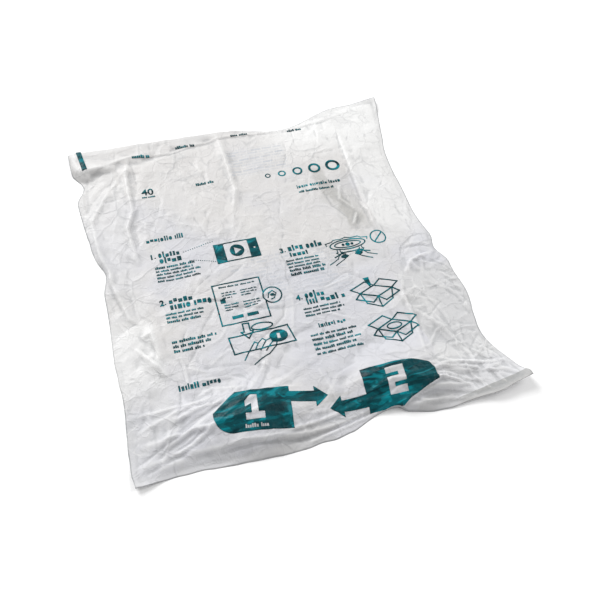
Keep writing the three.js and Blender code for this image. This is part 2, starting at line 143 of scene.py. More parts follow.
class InkSettings(bpy.types.PropertyGroup):
    """The print on the film."""

    colour: FloatVectorProperty(
        name="Ink colour", description="The teal of every printed mark",
        subtype="COLOR", size=3, min=0, max=1, default=(0.0, 0.088, 0.104))
    # Painted shade and painted highlights on the ink, laid in streaks and patches.
    ink_shade_colour: FloatVectorProperty(
        name="Ink shade", description="Painted shade in the ink's darker streaks and patches",
        subtype="COLOR", size=3, min=0, max=1, default=(0.0, 0.020, 0.027))
    ink_highlight_colour: FloatVectorProperty(
        name="Ink highlight", description="Painted highlights in the ink's lighter streaks and patches",
        subtype="COLOR", size=3, min=0, max=1, default=(0.0, 0.25, 0.30))
    offset: FloatProperty(
        name="Ink height", description="How far the ink stands off the film",
        subtype="DISTANCE", unit="LENGTH", min=0.00005, max=0.001, default=0.0002)
    line_width: FloatProperty(
        name="Line width", description="The lines of the pictures",
        subtype="DISTANCE", unit="LENGTH", min=0.0003, max=0.004, default=0.0014)


class StageSettings(bpy.types.PropertyGroup):
    """Floor, lamps and camera."""

    key_power: FloatProperty(
        name="Key lamp", description="The large lamp beyond the left side", unit="POWER",
        min=0, default=106)
    fill_power: FloatProperty(
        name="Fill lamp", description="The lamp over the right side", unit="POWER",
        min=0, default=26)
    surround: FloatProperty(
        name="Surround", description="Strength of the light from all round", min=0, default=0.48)
    focal_length: FloatProperty(
        name="Focal length", description="Of the camera, in millimetres", min=1, default=43.33)


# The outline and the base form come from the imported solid.

def solid_copy(node):
    """A merged copy of a node's loose triangles."""
    bm = bmesh.new()
    bm.from_mesh(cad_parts[node].data)
    bmesh.ops.remove_doubles(bm, verts=bm.verts, dist=1e-6)
    bm.normal_update()
    return bm


def outline_loop(bm):
    """The points where the solid's face meets its upright rim, in order, as an array."""
    steps = {}
    for edge in bm.edges:
        if len(edge.link_faces) != 2:
            continue
        slopes = sorted(abs(face.normal.z) for face in edge.link_faces)
        highest = max(face.normal.z for face in edge.link_faces)
        if slopes[0] < 1e-3 and highest > 1e-3:
            for here, there in (edge.verts, reversed(edge.verts)):
                steps.setdefault(here, []).append(there)
    start = next(iter(steps))
    loop = [start]
    before = None
    here = start
    while True:
        following = [v for v in steps[here] if v is not before]
        before, here = here, following[0]
        if here is start:
            break
        loop.append(here)
    points = np.array([v.co[:2] for v in loop])
    after = np.roll(points, -1, axis=0)
    area = np.sum(points[:, 0] * after[:, 1] - points[:, 1] * after[:, 0])
    return points if area > 0 else points[::-1]


def resampled(points, count):
    """The polyline with count + 1 points, evenly spaced along it."""
    lengths = np.concatenate([[0], np.cumsum(np.linalg.norm(np.diff(points, axis=0), axis=1))])
    at = np.linspace(0, lengths[-1], count + 1)
    line = np.stack([np.interp(at, lengths, points[:, k]) for k in range(2)], axis=1)
    for _ in range(6):
        line[1:-1] = (line[:-2] + 2 * line[1:-1] + line[2:]) / 4
    return line


def four_sides(loop):
    """Bottom, right, top and left side, each from low to high x or y."""
    corners = []
    for way in ((-1, -1), (1, -1), (1, 1), (-1, 1)):
        corners.append(int(np.argmax(loop @ np.array(way))))
    sides = []
    for k in range(4):
        start, end = corners[k], corners[(k + 1) % 4]
        if end <= start:
            end += len(loop)
        run = np.take(loop, range(start, end + 1), axis=0, mode="wrap")
        sides.append(run if k < 2 else run[::-1])
    return sides


def plan_grid(loop):
    """The flat place of every grid point, as an array of rows by columns by 2."""
    bottom, right, top, left = four_sides(loop)
    bottom, top = resampled(bottom, COLUMNS), resampled(top, COLUMNS)
    left, right = resampled(left, ROWS), resampled(right, ROWS)
    across = np.linspace(0, 1, COLUMNS + 1)[None, :, None]
    along = np.linspace(0, 1, ROWS + 1)[:, None, None]
    grid = (1 - along) * bottom[None] + along * top[None]
    grid = grid + (1 - across) * left[:, None] + across * right[:, None]
    grid -= (1 - along) * ((1 - across) * bottom[0] + across * bottom[-1])
    grid -= along * ((1 - across) * top[0] + across * top[-1])
    return grid


# A fold that stands this far off the film round it counts as a full one, for the painted shade in
# its hollow and the painted highlight on its crest.
FOLD_DEPTH = 0.35 * MM

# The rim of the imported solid, and how far in from the edge each thing reaches.
SOLID_RIM = 1.2 * MM
WAVER_REACH = 16 * MM
SWELL_REACH = 16 * MM
UNDERSIDE_REACH = 14 * MM
LOOSE_REACH = 9 * MM
FREE_REACH = 5 * MM
TONE_REACH = 8 * MM
BACK_REACH = 6 * MM

# The back ply's wrinkles, the most of the gap between the plies that they take up, and how
# many grid steps round a point its gap is looked for.
BACK_WRINKLE = 0.9 * MM
GAP_SHARE = 0.4
GAP_STEPS = 4

# The share of the rim's thickness that is left at its very edge.
RIM_SHARE = 0.55

# Layers of noise, each with its cell in metres, its seed and its weight: the waves of the
# edge, the ripple of the face between its folds, and the wrinkles of the back.
EDGE_WAVES = ((0.014, 41, 0.9), (0.036, 42, 1.3))
EDGE_WAVE_LIFT = 0.2
EDGE_DRAW = 1.1 * MM
RIPPLES = ((0.016, 11, 0.5), (0.0075, 12, 0.22))
RIPPLE = 0.25 * MM
WRINKLES = ((0.03, 21, 1), (0.012, 22, 0.5))

# Where the bottom seal is folded under: along x in metres, and how far in it goes.
TUCK = {"start": 0.005, "peak": 0.054, "end": 0.063, "reach": 0.032, "depth": 0.0065}


def wavered(plan):
    """The plan with its edge drawn in a little, unevenly, as a crumpled seal is."""
    depth = inset_grid(plan)
    reach = 1 - smooth_step(depth / WAVER_REACH)
    wave = layered_noise(plan, EDGE_WAVES) + EDGE_WAVE_LIFT
    inward = np.clip(wave, 0, None) * EDGE_DRAW * reach
    x, y = plan[..., 0], plan[..., 1]
    rise = smooth_step((x - TUCK["start"]) / (TUCK["peak"] - TUCK["start"]))
    fall = smooth_step((TUCK["end"] - x) / (TUCK["end"] - TUCK["peak"]))
    low = smooth_step(1 - (y + HALF_LENGTH) / TUCK["reach"])
    plan = plan.copy()
    plan[..., 1] += TUCK["depth"] * rise * fall * low
    direction = -plan / np.array((HALF_WIDTH, HALF_LENGTH))
    direction = np.where(np.abs(direction) > 0.9, np.sign(direction), direction)
    return plan + direction * inward[..., None]


def inset_grid(plan):
    """How far each grid point is from the nearest edge, in metres."""
    rows, columns = plan.shape[:2]
    across = np.minimum(np.arange(columns), columns - 1 - np.arange(columns))
    along = np.minimum(np.arange(rows), rows - 1 - np.arange(rows))
    step_x = 2 * HALF_WIDTH / (columns - 1)
    step_y = 2 * HALF_LENGTH / (rows - 1)
    return np.minimum(across[None, :] * step_x, along[:, None] * step_y)


def cast_heights(tree, plan, origin_z, way):
    """The solid's height at every grid point, seen from above or from below."""
    pull = 1 - 0.2 * MM / HALF_WIDTH
    heights = np.zeros(plan.shape[:2])
    for row in range(plan.shape[0]):
        for column in range(plan.shape[1]):
            x, y = plan[row, column] * pull
            hit = tree.ray_cast(Vector((x, y, origin_z)), way)[0]
            heights[row, column] = hit.z if hit else np.nan
    for row in range(plan.shape[0]):
        line = heights[row]
        missing = np.isnan(line)
        if missing.any():
            line[missing] = np.interp(
                np.flatnonzero(missing), np.flatnonzero(~missing), line[~missing])
    return heights


def smoothed(field, passes):
    """The field after that many passes of a small blur, its edge kept."""
    out = field.copy()
    for _ in range(passes):
        out[1:-1] = (out[:-2] + 2 * out[1:-1] + out[2:]) / 4
        out[:, 1:-1] = (out[:, :-2] + 2 * out[:, 1:-1] + out[:, 2:]) / 4
    return out


def least_near(field, steps):
    """At every grid point, the least value of the field within that many steps of it."""
    out = field.copy()
    for _ in range(steps):
        out[1:] = np.minimum(out[1:], out[:-1])
        out[:-1] = np.minimum(out[:-1], out[1:])
        out[:, 1:] = np.minimum(out[:, 1:], out[:, :-1])
        out[:, :-1] = np.minimum(out[:, :-1], out[:, 1:])
    return out


def smooth_step(value):
    value = np.clip(value, 0, 1)
    return value * value * (3 - 2 * value)


def noise_field(plan, size, seed):
    """Soft noise of about that cell size over the plan, between -1 and 1."""
    offset = Vector((seed * 7.3, seed * 3.1, seed * 1.7))
    scale = 1 / size
    out = np.empty(plan.shape[:2])
    for row in range(plan.shape[0]):
        for column in range(plan.shape[1]):
            x, y = plan[row, column]
            place = Vector((x * scale, y * scale, 0)) + offset
            out[row, column] = noise.noise(place)
    return out


def layered_noise(plan, layers):
    """Noise of several cell sizes, added up."""
    return sum(noise_field(plan, cell, seed) * weight for cell, seed, weight in layers)


# Crumpling: a cloth run on a coarse copy of the face, cut a little too large for its place.

def laid_grid(bm, points):
    """A grid over an array of rows by columns by 3: its vertices with their row and column."""
    rows, columns = points.shape[0] - 1, points.shape[1] - 1
    made = bmesh.ops.create_grid(bm, x_segments=columns, y_segments=rows, size=1)
    laid = []
    for vert in made["verts"]:
        column = round((vert.co.x + 1) / 2 * columns)
        row = round((vert.co.y + 1) / 2 * rows)
        vert.co = points[row, column]
        laid.append((vert, row, column))
    return laid


def finished_mesh(bm, name):
    mesh = bpy.data.meshes.new(name)
    bm.to_mesh(mesh)
    bm.free()
    return mesh


def crumpled(points, inset, drift, settings):
    """How far each point of the grid moves in a cloth run.

    The sheet is cut a little too large for its place, so it buckles. The run is made on a
    larger copy, because the solver stops early on very small moves.
    """
    large = points * RUN_SCALE
    bm = bmesh.new()
    laid_grid(bm, large)
    mesh = finished_mesh(bm, "crumple_run")
    sheet = bpy.data.objects.new("crumple_run", mesh)
    bpy.context.scene.collection.objects.link(sheet)
    sheet.shape_key_add(name="Place")
    cut = sheet.shape_key_add(name="Cut size")
    coords = large.copy()
    coords[..., :2] *= 1 + settings.growth
    coords[..., :2] += drift * RUN_SCALE
    cut.data.foreach_set("co", coords.ravel())
    group = sheet.vertex_groups.new(name="hold")
    hold = np.clip(1 - inset / HOLD_WIDTH, 0, 1).ravel()
    levels = np.round(hold * HOLD_LEVELS) / HOLD_LEVELS
    for level in np.unique(levels):
        group.add([int(i) for i in np.flatnonzero(levels == level)], float(level), "REPLACE")
    cloth = sheet.modifiers.new("Crumple", "CLOTH")
    for name, value in CLOTH.items():
        setattr(cloth.settings, name, value)
    cloth.settings.vertex_group_mass = "hold"
    cloth.settings.rest_shape_key = cut
    cloth.settings.effector_weights.gravity = 0
    cloth.collision_settings.use_collision = False
    cloth.point_cache.frame_start = 1
    cloth.point_cache.frame_end = settings.frames
    scene = bpy.context.scene
    for step in range(1, settings.frames + 1):
        scene.frame_set(step)
    run = sheet.evaluated_get(bpy.context.evaluated_depsgraph_get())
    result = run.to_mesh()
    out = np.empty(len(result.vertices) * 3)
    result.vertices.foreach_get("co", out)
    run.to_mesh_clear()
    scene.frame_set(1)
    bpy.data.objects.remove(sheet)
    bpy.data.meshes.remove(mesh)
    return (out.reshape(points.shape) - large) / RUN_SCALE


def crumple(face, inset, step, settings):
    """The film's moves on the full grid, from a run on every step-th point of it."""
    coarse = face[::step, ::step]
    flat = coarse[..., :2]
    cell = DRIFT_CELL * step
    drift = [layered_noise(flat, ((2 * cell, 3 + k, 1), (cell, 5 + k, 0.5))) for k in (0, 1)]
    drift = np.stack(drift, axis=-1) * DRIFT_STRENGTH * step
    moved = crumpled(coarse, inset[::step, ::step], drift, settings)
    moved -= smoothed(moved, BROAD_PASSES)
    while moved.shape[0] < face.shape[0]:
        moved = smoothed(doubled(moved), 2)
    return moved


def doubled(field):
    """A field of half as many divisions, brought up to the full grid."""
    rows, columns = field.shape[0], field.shape[1]
    tall = np.empty((2 * rows - 1, columns) + field.shape[2:])
    tall[::2] = field
    tall[1::2] = (field[:-1] + field[1:]) / 2
    wide = np.empty((2 * rows - 1, 2 * columns - 1) + field.shape[2:])
    wide[:, ::2] = tall
    wide[:, 1::2] = (tall[:, :-1] + tall[:, 1:]) / 2
    return wide


# How many of each fold is drawn at random, and the height, as a share of the half length,
# above which the film is calmer.
STRAY_CREASES = 280
FACET_FOLDS = 110
KINKS = 420
CALM_ABOVE = -0.1

# Folds that run where the photographed bag has them: a path in shares of the half width and
# half length, the height, and the flanks left and right of the path in millimetres.
THIN_FOLDS = [
    ([(-0.66, 0.86), (-0.7, 0.7), (-0.71, 0.46), (-0.76, 0.36), (-0.75, 0.12)], 2.0, 3, 7),
    ([(-0.1, 0.93), (-0.11, 0.48), (-0.16, 0.34)], 1.9, 7, 3),
    ([(-0.95, 0.5), (-0.94, 0.22), (-0.9, 0), (-0.86, -0.17), (-0.8, -0.22)], 1.8, 9, 2.5),
    ([(-0.82, -0.29), (-0.77, -0.27), (-0.76, -0.42)], 1.6, 5, 2.5),
    ([(-0.86, -0.33), (-0.73, -0.53)], 1.8, 3, 4),
    ([(-0.8, 0.66), (-0.95, 0.46)], 1.0, 4, 5),
    ([(-0.96, -0.66), (-0.72, -0.67), (-0.56, -0.68)], 0.9, 2.5, 4),
    ([(-0.74, -0.89), (-0.48, -0.91), (-0.2, -0.94), (0.1, -0.93)], 1.3, 4, 3),
    ([(0.62, -0.27), (0.57, -0.36), (0.56, -0.55), (0.52, -0.74)], 1.2, 2.5, 6),
    ([(0.63, -0.27), (0.7, -0.2), (0.84, -0.17)], 1.6, 3, 4),
    ([(0.58, -0.47), (0.68, -0.6), (0.71, -0.68), (0.78, -0.84)], 1.7, 2.5, 3.5),
    ([(0.66, 0.8), (0.62, 0.46), (0.6, 0.21), (0.59, 0.03)], 1.7, 8, 3.5),
    ([(0.93, 0.28), (0.84, 0.16), (0.8, 0.02)], 1.0, 3, 5),
    ([(0.53, 0.17), (0.5, 0.12), (0.48, 0.09)], 2.2, 2.2, 3.2),
    ([(0.58, 0.25), (0.6, 0.16), (0.6, 0.07)], 1.4, 2, 3.5),
    ([(0.5, 0.38), (0.47, 0.28), (0.53, 0.19)], 1.5, 4, 3),
    ([(0.39, 0.36), (0.41, 0.25), (0.47, 0.14)], -1.2, 3, 4),
    ([(-0.96, 0.74), (-0.85, 0.80), (-0.645, 0.85), (-0.42, 0.836), (-0.3, 0.86), (-0.05, 0.894),
      (0.19, 0.884), (0.37, 0.874), (0.63, 0.899), (0.85, 0.947)], 1.3, 10, 1.6),
    ([(0.6, -0.855), (0.352, -0.92), (0.2, -0.965)], 2.6, 2.2, 6),
    ([(0.4, -0.755), (0.5, -0.79), (0.64, -0.81)], 1.4, 6, 2.5),
    ([(-0.66, -0.745), (-0.55, -0.71), (-0.42, -0.655)], 1.3, 6, 2.5),
    ([(-0.98, -0.9), (-0.7, -0.86), (-0.45, -0.74), (-0.2, -0.69)], 1.3, 5, 4),
    ([(-0.95, -0.8), (-0.66, -0.8), (-0.4, -0.8), (-0.15, -0.78)], 1.3, 4, 5),
    ([(-0.9, -0.7), (-0.6, -0.74), (-0.35, -0.72), (0.0, -0.6)], 1.0, 5, 5),
    ([(-0.5, -0.88), (-0.35, -0.89), (-0.1, -0.87)], 0.7, 4, 6),
    ([(0.12, -0.85), (0.3, -0.82), (0.5, -0.86), (0.8, -0.92)], 1.5, 4, 4),
    ([(0.18, -0.76), (0.35, -0.77), (0.55, -0.74)], 1.2, 4, 5),
    ([(0.2, -0.9), (0.4, -0.84), (0.62, -0.8), (0.95, -0.85)], 1.5, 3, 5),
    ([(-0.4, -0.93), (-0.1, -0.9), (0.12, -0.87), (0.3, -0.9)], 1.6, 4, 2.5),
    ([(-0.2, -0.985), (0.0, -0.95), (0.2, -0.93)], 1.2, 3, 2),
    ([(0.34, -0.93), (0.5, -0.9), (0.72, -0.92)], 1.6, 3, 2.5),
    ([(0.33, -0.95), (0.52, -0.95), (0.66, -0.98)], 1.2, 2.5, 2),
    ([(-0.3, -0.962), (-0.05, -0.952), (0.15, -0.925), (0.27, -0.9)], -1.8, 3.2, 2.2),
    ([(-0.6, -0.925), (-0.38, -0.94), (-0.1, -0.972)], -1.2, 3, 2.5),
    ([(-0.97, -0.88), (-0.8, -0.82), (-0.55, -0.72), (-0.4, -0.63)], -1.3, 4.5, 3),
    ([(-0.97, -0.93), (-0.78, -0.89), (-0.62, -0.84)], -0.9, 4, 3),
    ([(0.93, -0.88), (0.75, -0.86), (0.56, -0.8)], -1.2, 2.5, 3),
    ([(0.72, -0.97), (0.55, -0.93), (0.4, -0.9)], -1.1, 2.5, 3),
]

# Fans of gathers: from a line at the pouch to a line at the corner, with a fold count.
THIN_FANS = [
    (((-0.56, -0.66), (-0.64, -0.82)), ((-0.98, -0.74), (-0.9, -0.92)), 7, 1.1, 3.2),
    (((0.55, -0.78), (0.3, -0.95)), ((0.96, -0.88), (0.44, -0.99)), 7, 1.5, 2.6),
    (((-0.3, -0.9), (0.2, -0.92)), ((-0.42, -0.985), (0.22, -0.985)), 6, 0.9, 2.4),
]


def fan_paths():
    paths = []
    for starts, ends, count, height, flank in THIN_FANS:
        rng = random.Random(count * 31 + int(height * 100))
        for k in range(count):
            share = (k + 0.4 * rng.uniform(-1, 1)) / (count - 1)
            start = [starts[0][a] + (starts[1][a] - starts[0][a]) * share for a in (0, 1)]
            end = [ends[0][a] + (ends[1][a] - ends[0][a]) * share for a in (0, 1)]
            cut = rng.uniform(0.45, 1)
            end = [start[a] + (end[a] - start[a]) * cut for a in (0, 1)]
            lean = [(start[a] + end[a]) / 2 + 0.02 * rng.uniform(-1, 1) for a in (0, 1)]
            paths.append(([start, lean, end], height * rng.uniform(0.4, 1.3),
                          flank * rng.uniform(0.7, 1.6), flank * rng.uniform(0.7, 1.6)))
    return paths


def stray_creases():
    """Short sharp creases all over the film, steeper to the axis near the lower edge."""
    rng = random.Random(4)
    paths = []
    for _ in range(STRAY_CREASES):
        x, y = rng.uniform(-0.92, 0.92), rng.uniform(-0.93, 0.86)
        if rng.random() < 0.2:
            x, y = rng.uniform(0.62, 0.95), rng.uniform(-0.88, 0.0)
        turn = rng.gauss(0.5 * math.pi, 0.55) if y > -0.1 else rng.gauss(-0.5 * x, 0.6)
        reach = rng.uniform(0.03, 0.14)
        path = [(x, y)]
        for _ in range(3):
            turn += rng.gauss(0, 0.35)
            x += reach * math.cos(turn)
            y += reach * math.sin(turn)
            path.append((max(-0.97, min(0.97, x)), max(-0.97, min(0.97, y))))
        flank = rng.uniform(1.6, 3.4)
        height = rng.choice((-1, 1, 1)) * rng.uniform(0.3, 1.0)
        if path[0][1] > CALM_ABOVE:
            height *= 0.45
        paths.append((path, height, flank, flank * rng.uniform(0.8, 2.2)))
    return paths


def facet_folds():
    """Straight folds with broad flanks, which break the film into flat facets."""
    rng = random.Random(17)
    paths = []
    for _ in range(FACET_FOLDS):
        x, y = rng.uniform(-0.95, 0.9), rng.uniform(-0.95, 0.8)
        turn = rng.uniform(0, math.pi)
        reach = rng.uniform(0.12, 0.36)
        end = (x + reach * math.cos(turn), y + reach * math.sin(turn))
        end = tuple(max(-0.97, min(0.97, v)) for v in end)
        height = rng.choice((-1, 1)) * rng.uniform(0.35, 0.95)
        if y > CALM_ABOVE:
            height *= 0.6
        paths.append(([(x, y), end], height, rng.uniform(4, 15), rng.uniform(4, 15)))
    return paths


def fold_rise(plan, path, height, left, right):
    """The rise of one fold over the plan: sharp crest, a flank each side, tapered ends."""
    points = np.array(path) * (HALF_WIDTH, HALF_LENGTH)
    steps = np.diff(points, axis=0)
    lengths = np.linalg.norm(steps, axis=1)
    total = lengths.sum()
    best = np.full(plan.shape[:2], np.inf)
    side = np.zeros(plan.shape[:2])
    run = np.zeros(plan.shape[:2])
    gone = 0
    for start, step, length in zip(points[:-1], steps, lengths):
        offset = plan - start
        share = np.clip((offset @ step) / length**2, 0, 1)
        away = offset - share[..., None] * step
        distance = np.linalg.norm(away, axis=-1)
        nearer = distance < best
        best = np.where(nearer, distance, best)
        cross = step[0] * offset[..., 1] - step[1] * offset[..., 0]
        side = np.where(nearer, cross, side)
        run = np.where(nearer, (gone + share * length) / total, run)
        gone += length
    flank = np.where(side > 0, left, right) * MM
    crest = np.clip(1 - best / flank, 0, 1) ** 1.5
    return height * MM * crest * np.sqrt(np.clip(np.sin(np.pi * run), 0, 1))


def angular_relief(plan):
    """Small flat facets with straight borders, as crinkled film has between its folds."""
    rng = random.Random(29)
    bend = [noise_field(plan, 0.05, 31 + k) for k in (0, 1)]
    bent = plan + np.stack(bend, axis=-1) * 6 * MM
    relief = np.zeros(plan.shape[:2])
    for _ in range(KINKS):
        turn = rng.uniform(0, math.pi)
        spot = rng.uniform(-1, 1) * HALF_WIDTH, rng.uniform(-1, 1) * HALF_LENGTH
        flank, reach = rng.uniform(5, 13) * MM, rng.uniform(18, 55) * MM
        height = rng.choice((-1, 1)) * rng.uniform(0.15, 0.5) * MM
        if spot[1] > CALM_ABOVE * HALF_LENGTH:
            height *= 0.75
        offset = bent - spot
        away = offset[..., 0] * math.cos(turn) + offset[..., 1] * math.sin(turn)
        along = offset[..., 1] * math.cos(turn) - offset[..., 0] * math.sin(turn)
        kink = np.clip(1 - np.abs(away) / flank, 0, 1)
        relief += height * kink * smooth_step(1.5 - 1.5 * np.abs(along) / reach)
    return relief


class Film:
    """The face of the film: its flat plan, and where each grid point lies when draped."""

    def __init__(self, plan, face):
        rows, columns = plan.shape[:2]
        flat = np.concatenate([plan, np.zeros((rows, columns, 1))], axis=-1).reshape(-1, 3)
        first = (np.arange(rows - 1)[:, None] * columns + np.arange(columns - 1)[None]).ravel()
        corners = np.stack([first, first + 1, first + 1 + columns, first + columns], axis=1)
        self.triangles = np.concatenate([corners[:, [0, 1, 2]], corners[:, [0, 2, 3]]])
        self.flat = flat
        self.tree = BVHTree.FromPolygons(flat.tolist(), self.triangles.tolist())
        self.points = face.reshape(-1, 3)
        across = np.gradient(face, axis=1)
        along = np.gradient(face, axis=0)
        normals = np.cross(across, along)
        normals /= np.linalg.norm(normals, axis=-1, keepdims=True)
        self.normals = normals.reshape(-1, 3)

    def place(self, x, y, lift):
        """The draped place of a flat point, lifted off the film."""
        spot, _, index, _ = self.tree.find_nearest(Vector((x, y, 0)))
        a, b, c = self.triangles[index]
        corner = self.flat[a]
        side = self.flat[b] - corner
        rise = self.flat[c] - corner
        offset = np.array(spot) - corner
        area = side[0] * rise[1] - side[1] * rise[0]
        s = (offset[0] * rise[1] - offset[1] * rise[0]) / area
        t = (side[0] * offset[1] - side[1] * offset[0]) / area
        weights = (1 - s - t, s, t)
        point = sum(w * self.points[k] for w, k in zip(weights, (a, b, c)))
        normal = sum(w * self.normals[k] for w, k in zip(weights, (a, b, c)))
        return Vector(point + normal / np.linalg.norm(normal) * lift)


film_state = {}


def draped_face(settings):
    """The plan, the face's points and the underside's heights, from the solid."""
    bm = solid_copy("bag")
    tree = BVHTree.FromBMesh(bm)
    plan = wavered(plan_grid(outline_loop(bm)))
    bm.free()
    inset = inset_grid(plan)
    top = cast_heights(tree, plan, 0.1, DOWN)
    low = cast_heights(tree, plan, -0.1, UP)
    low[inset > UNDERSIDE_REACH] = 0
    low = np.maximum(0, smoothed(low, 6))
    top = smoothed(top, 3)

    # The rim is thinner than the solid's, and the face swells from it.
    near_rim = 1 - smooth_step(inset / SWELL_REACH)
    gap = np.maximum(top - low, settings.rim)
    seal = SOLID_RIM - settings.rim
    gap = np.maximum(settings.rim, gap - seal * near_rim)
    height = low + gap

    face = np.concatenate([plan, height[..., None]], axis=-1)
    loose = smooth_step(inset / LOOSE_REACH)[..., None]
    fine = crumple(face, inset, 2, settings) * settings.fine_crumple
    broad = crumple(face, inset, 4, settings) * settings.broad_crumple
    moved = fine + broad
    size = np.linalg.norm(moved, axis=-1, keepdims=True)
    cap = settings.fold_cap
    moved *= np.tanh(size / cap) * cap / np.maximum(size, 1e-9)
    face += moved * loose

    free = smooth_step(inset / FREE_REACH)
    for fold in THIN_FOLDS + fan_paths() + stray_creases() + facet_folds():
        face[..., 2] += free * fold_rise(plan, *fold)
    face[..., 2] += free * layered_noise(plan, RIPPLES) * RIPPLE
    face[..., 2] += free * angular_relief(plan)
    face[..., 2] = np.maximum(face[..., 2], low + settings.rim)
    return plan, face, low, inset


def film_mesh(plan, face, low, inset):
    """Both plies as one closed mesh, with the flat plan kept as its UV map."""
    bm = bmesh.new()
    sheet = bm.loops.layers.uv.new("Sheet")
    rim = bm.verts.layers.float.new("rim")
    fold = bm.verts.layers.float.new("fold")
    # How far each point stands above or below the film round it; the material paints shade in the
    # hollows and highlights on the crests from it.
    relief = (face[..., 2] - smoothed(face[..., 2], 6)) / FOLD_DEPTH
    relief = np.clip(relief, -1, 1) * smooth_step(inset / TONE_REACH)

    places = {}

    def ply(points, flat, step, back):
        laid = laid_grid(bm, points)
        for vert, row, column in laid:
            places[vert] = flat[row, column]
            vert[rim] = inset[row * step, column * step]
            if not back:
                vert[fold] = relief[row, column]
        faces = {f for vert, _, _ in laid for f in vert.link_faces}
        if back:
            bmesh.ops.reverse_faces(bm, faces=list(faces))
        for f in faces:
            f.material_index = 1 if back else 0

    half = plan[::2, ::2]
    back = np.concatenate([plan, low[..., None]], axis=-1)[::2, ::2].copy()
    wrinkle = layered_noise(half, WRINKLES)
    back_free = smooth_step(inset[::2, ::2] / BACK_REACH)
    rise = np.maximum(0, wrinkle) * BACK_WRINKLE * back_free
    room = least_near(face[..., 2] - low, GAP_STEPS)[::2, ::2]
    back[..., 2] += np.minimum(rise, GAP_SHARE * room)
    front = face.copy()
    edge = inset == 0
    front[edge, 2] = low[edge] + (front[edge, 2] - low[edge]) * RIM_SHARE
    ply(front, plan, 1, False)
    face_rim = [e for e in bm.edges if e.is_boundary]
    known = set(face_rim)
    ply(back, half, 2, True)
    back_rim = [e for e in bm.edges if e.is_boundary and e not in known]
    bridge = bmesh.ops.bridge_loops(bm, edges=face_rim + back_rim)
    for f in bridge["faces"]:
        f.material_index = 0
    for f in bm.faces:
        f.smooth = True
        for corner in f.loops:
            x, y = places[corner.vert]
            corner[sheet].uv = (x, y)
    return finished_mesh(bm, "film")


# Node helpers.

def node(tree, kind, inputs=None, **values):
    """A node with its settings and its inputs, each a socket or a value."""
    made = tree.nodes.new(kind)
    for key, value in values.items():
        setattr(made, key, value)
    fill_inputs(tree, made, inputs or {})
    return made


def fill_inputs(tree, made, inputs):
    for key, value in inputs.items():
        if isinstance(value, bpy.types.NodeSocket):
            tree.links.new(value, made.inputs[key])
        else:
            made.inputs[key].default_value = value


def new_material(name):
    material = bpy.data.materials.new(name)
    material.use_nodes = True
    tree = material.node_tree
    shader = tree.nodes["Principled BSDF"]
    return material, tree, shader


def mixed(tree, factor, a, b):
    """A colour mix node; each input is a socket or a colour."""
    colours = [c if isinstance(c, bpy.types.NodeSocket) else (*c, 1) for c in (a, b)]
    inputs = {0: factor, 6: colours[0], 7: colours[1]}
    return node(tree, "ShaderNodeMix", inputs, data_type="RGBA", blend_type="MIX").outputs[2]


def scaled(tree, value, low, high, to_low=0.0, to_high=1.0):
    """A smooth map of one range to another."""
    inputs = {"Value": value, "From Min": low, "From Max": high, "To Min": to_low,
              "To Max": to_high}
    span = node(tree, "ShaderNodeMapRange", inputs, interpolation_type="SMOOTHSTEP")
    return span.outputs["Result"]


def maths(tree, operation, a, b=None):
    inputs = {0: a} if b is None else {0: a, 1: b}
    return node(tree, "ShaderNodeMath", inputs, operation=operation).outputs[0]


def product(tree, *parts):
    """All the parts multiplied together."""
    total = parts[0]
    for part in parts[1:]:
        total = maths(tree, "MULTIPLY", total, part)
    return total


def toned(tree, colour, tones, tints, places):
    """The colour with each tone laid over it in turn.

    A tone is a tint's name, its share, and the places where it lies. A place with two
    numbers grows from none at the first to full at the second.
    """
    for tint, share, *where in tones:
        parts = []
        for spot in where:
            if isinstance(spot, str):
                parts.append(places[spot])
            else:
                name, none_at, full_at = spot
                parts.append(scaled(tree, places[name], none_at, full_at))
        mask = product(tree, *parts)
        if share != 1:
            mask = maths(tree, "MULTIPLY", mask, share)
        colour = mixed(tree, mask, colour, tints[tint])
    return colour


# Thin film lets a little light through.
LET_THROUGH = {"Subsurface Radius": (0.004, 0.004, 0.004), "Subsurface Scale": 0.4}


def noise_node(tree, vector, scale, detail=3.0, roughness=0.5, distortion=0.0):
    inputs = {"Vector": vector, "Scale": scale, "Detail": detail, "Roughness": roughness,
              "Distortion": distortion}
    return node(tree, "ShaderNodeTexNoise", inputs).outputs["Fac"]


def leaning(tree, vector, degrees, stretch):
    """The vector turned, then drawn out so that noise on it makes streaks."""
    inputs = {"Vector": vector, "Rotation": (0, 0, math.radians(degrees)),
              "Scale": (1, stretch, 1)}
    return node(tree, "ShaderNodeMapping", inputs).outputs["Vector"]


# Cells of the wide and the thin creases to the metre, and of the patches that hold them.
WIDE_CELLS = 24
THIN_CELLS = 75
WIDE_PATCHES = 17
THIN_PATCHES = 23


def crease_lines(tree, vector, scale, width, wander):
    """Thin lines between cells, bent by noise: 1 on a line, 0 away from it."""
    inputs = {"Vector": vector, "Scale": scale * 0.8, "Detail": 2}
    shift = node(tree, "ShaderNodeTexNoise", inputs).outputs["Color"]
    inputs = {0: shift, 1: (wander, wander, 0), 2: vector}
    push = node(tree, "ShaderNodeVectorMath", inputs, operation="MULTIPLY_ADD")
    inputs = {"Vector": push.outputs["Vector"], "Scale": scale}
    cells = node(tree, "ShaderNodeTexVoronoi", inputs, feature="DISTANCE_TO_EDGE")
    return scaled(tree, cells.outputs["Distance"], 0, width * scale, 1, 0)


def ridge_lines(tree, vector, scale, sharpness):
    """Wandering ridges where noise crosses its middle value: 1 on a ridge."""
    field = noise_node(tree, vector, scale, 2.5, 0.5, 0.9)
    away = maths(tree, "ABSOLUTE", maths(tree, "SUBTRACT", field, 0.5))
    return scaled(tree, away, 0, sharpness, 1, 0)


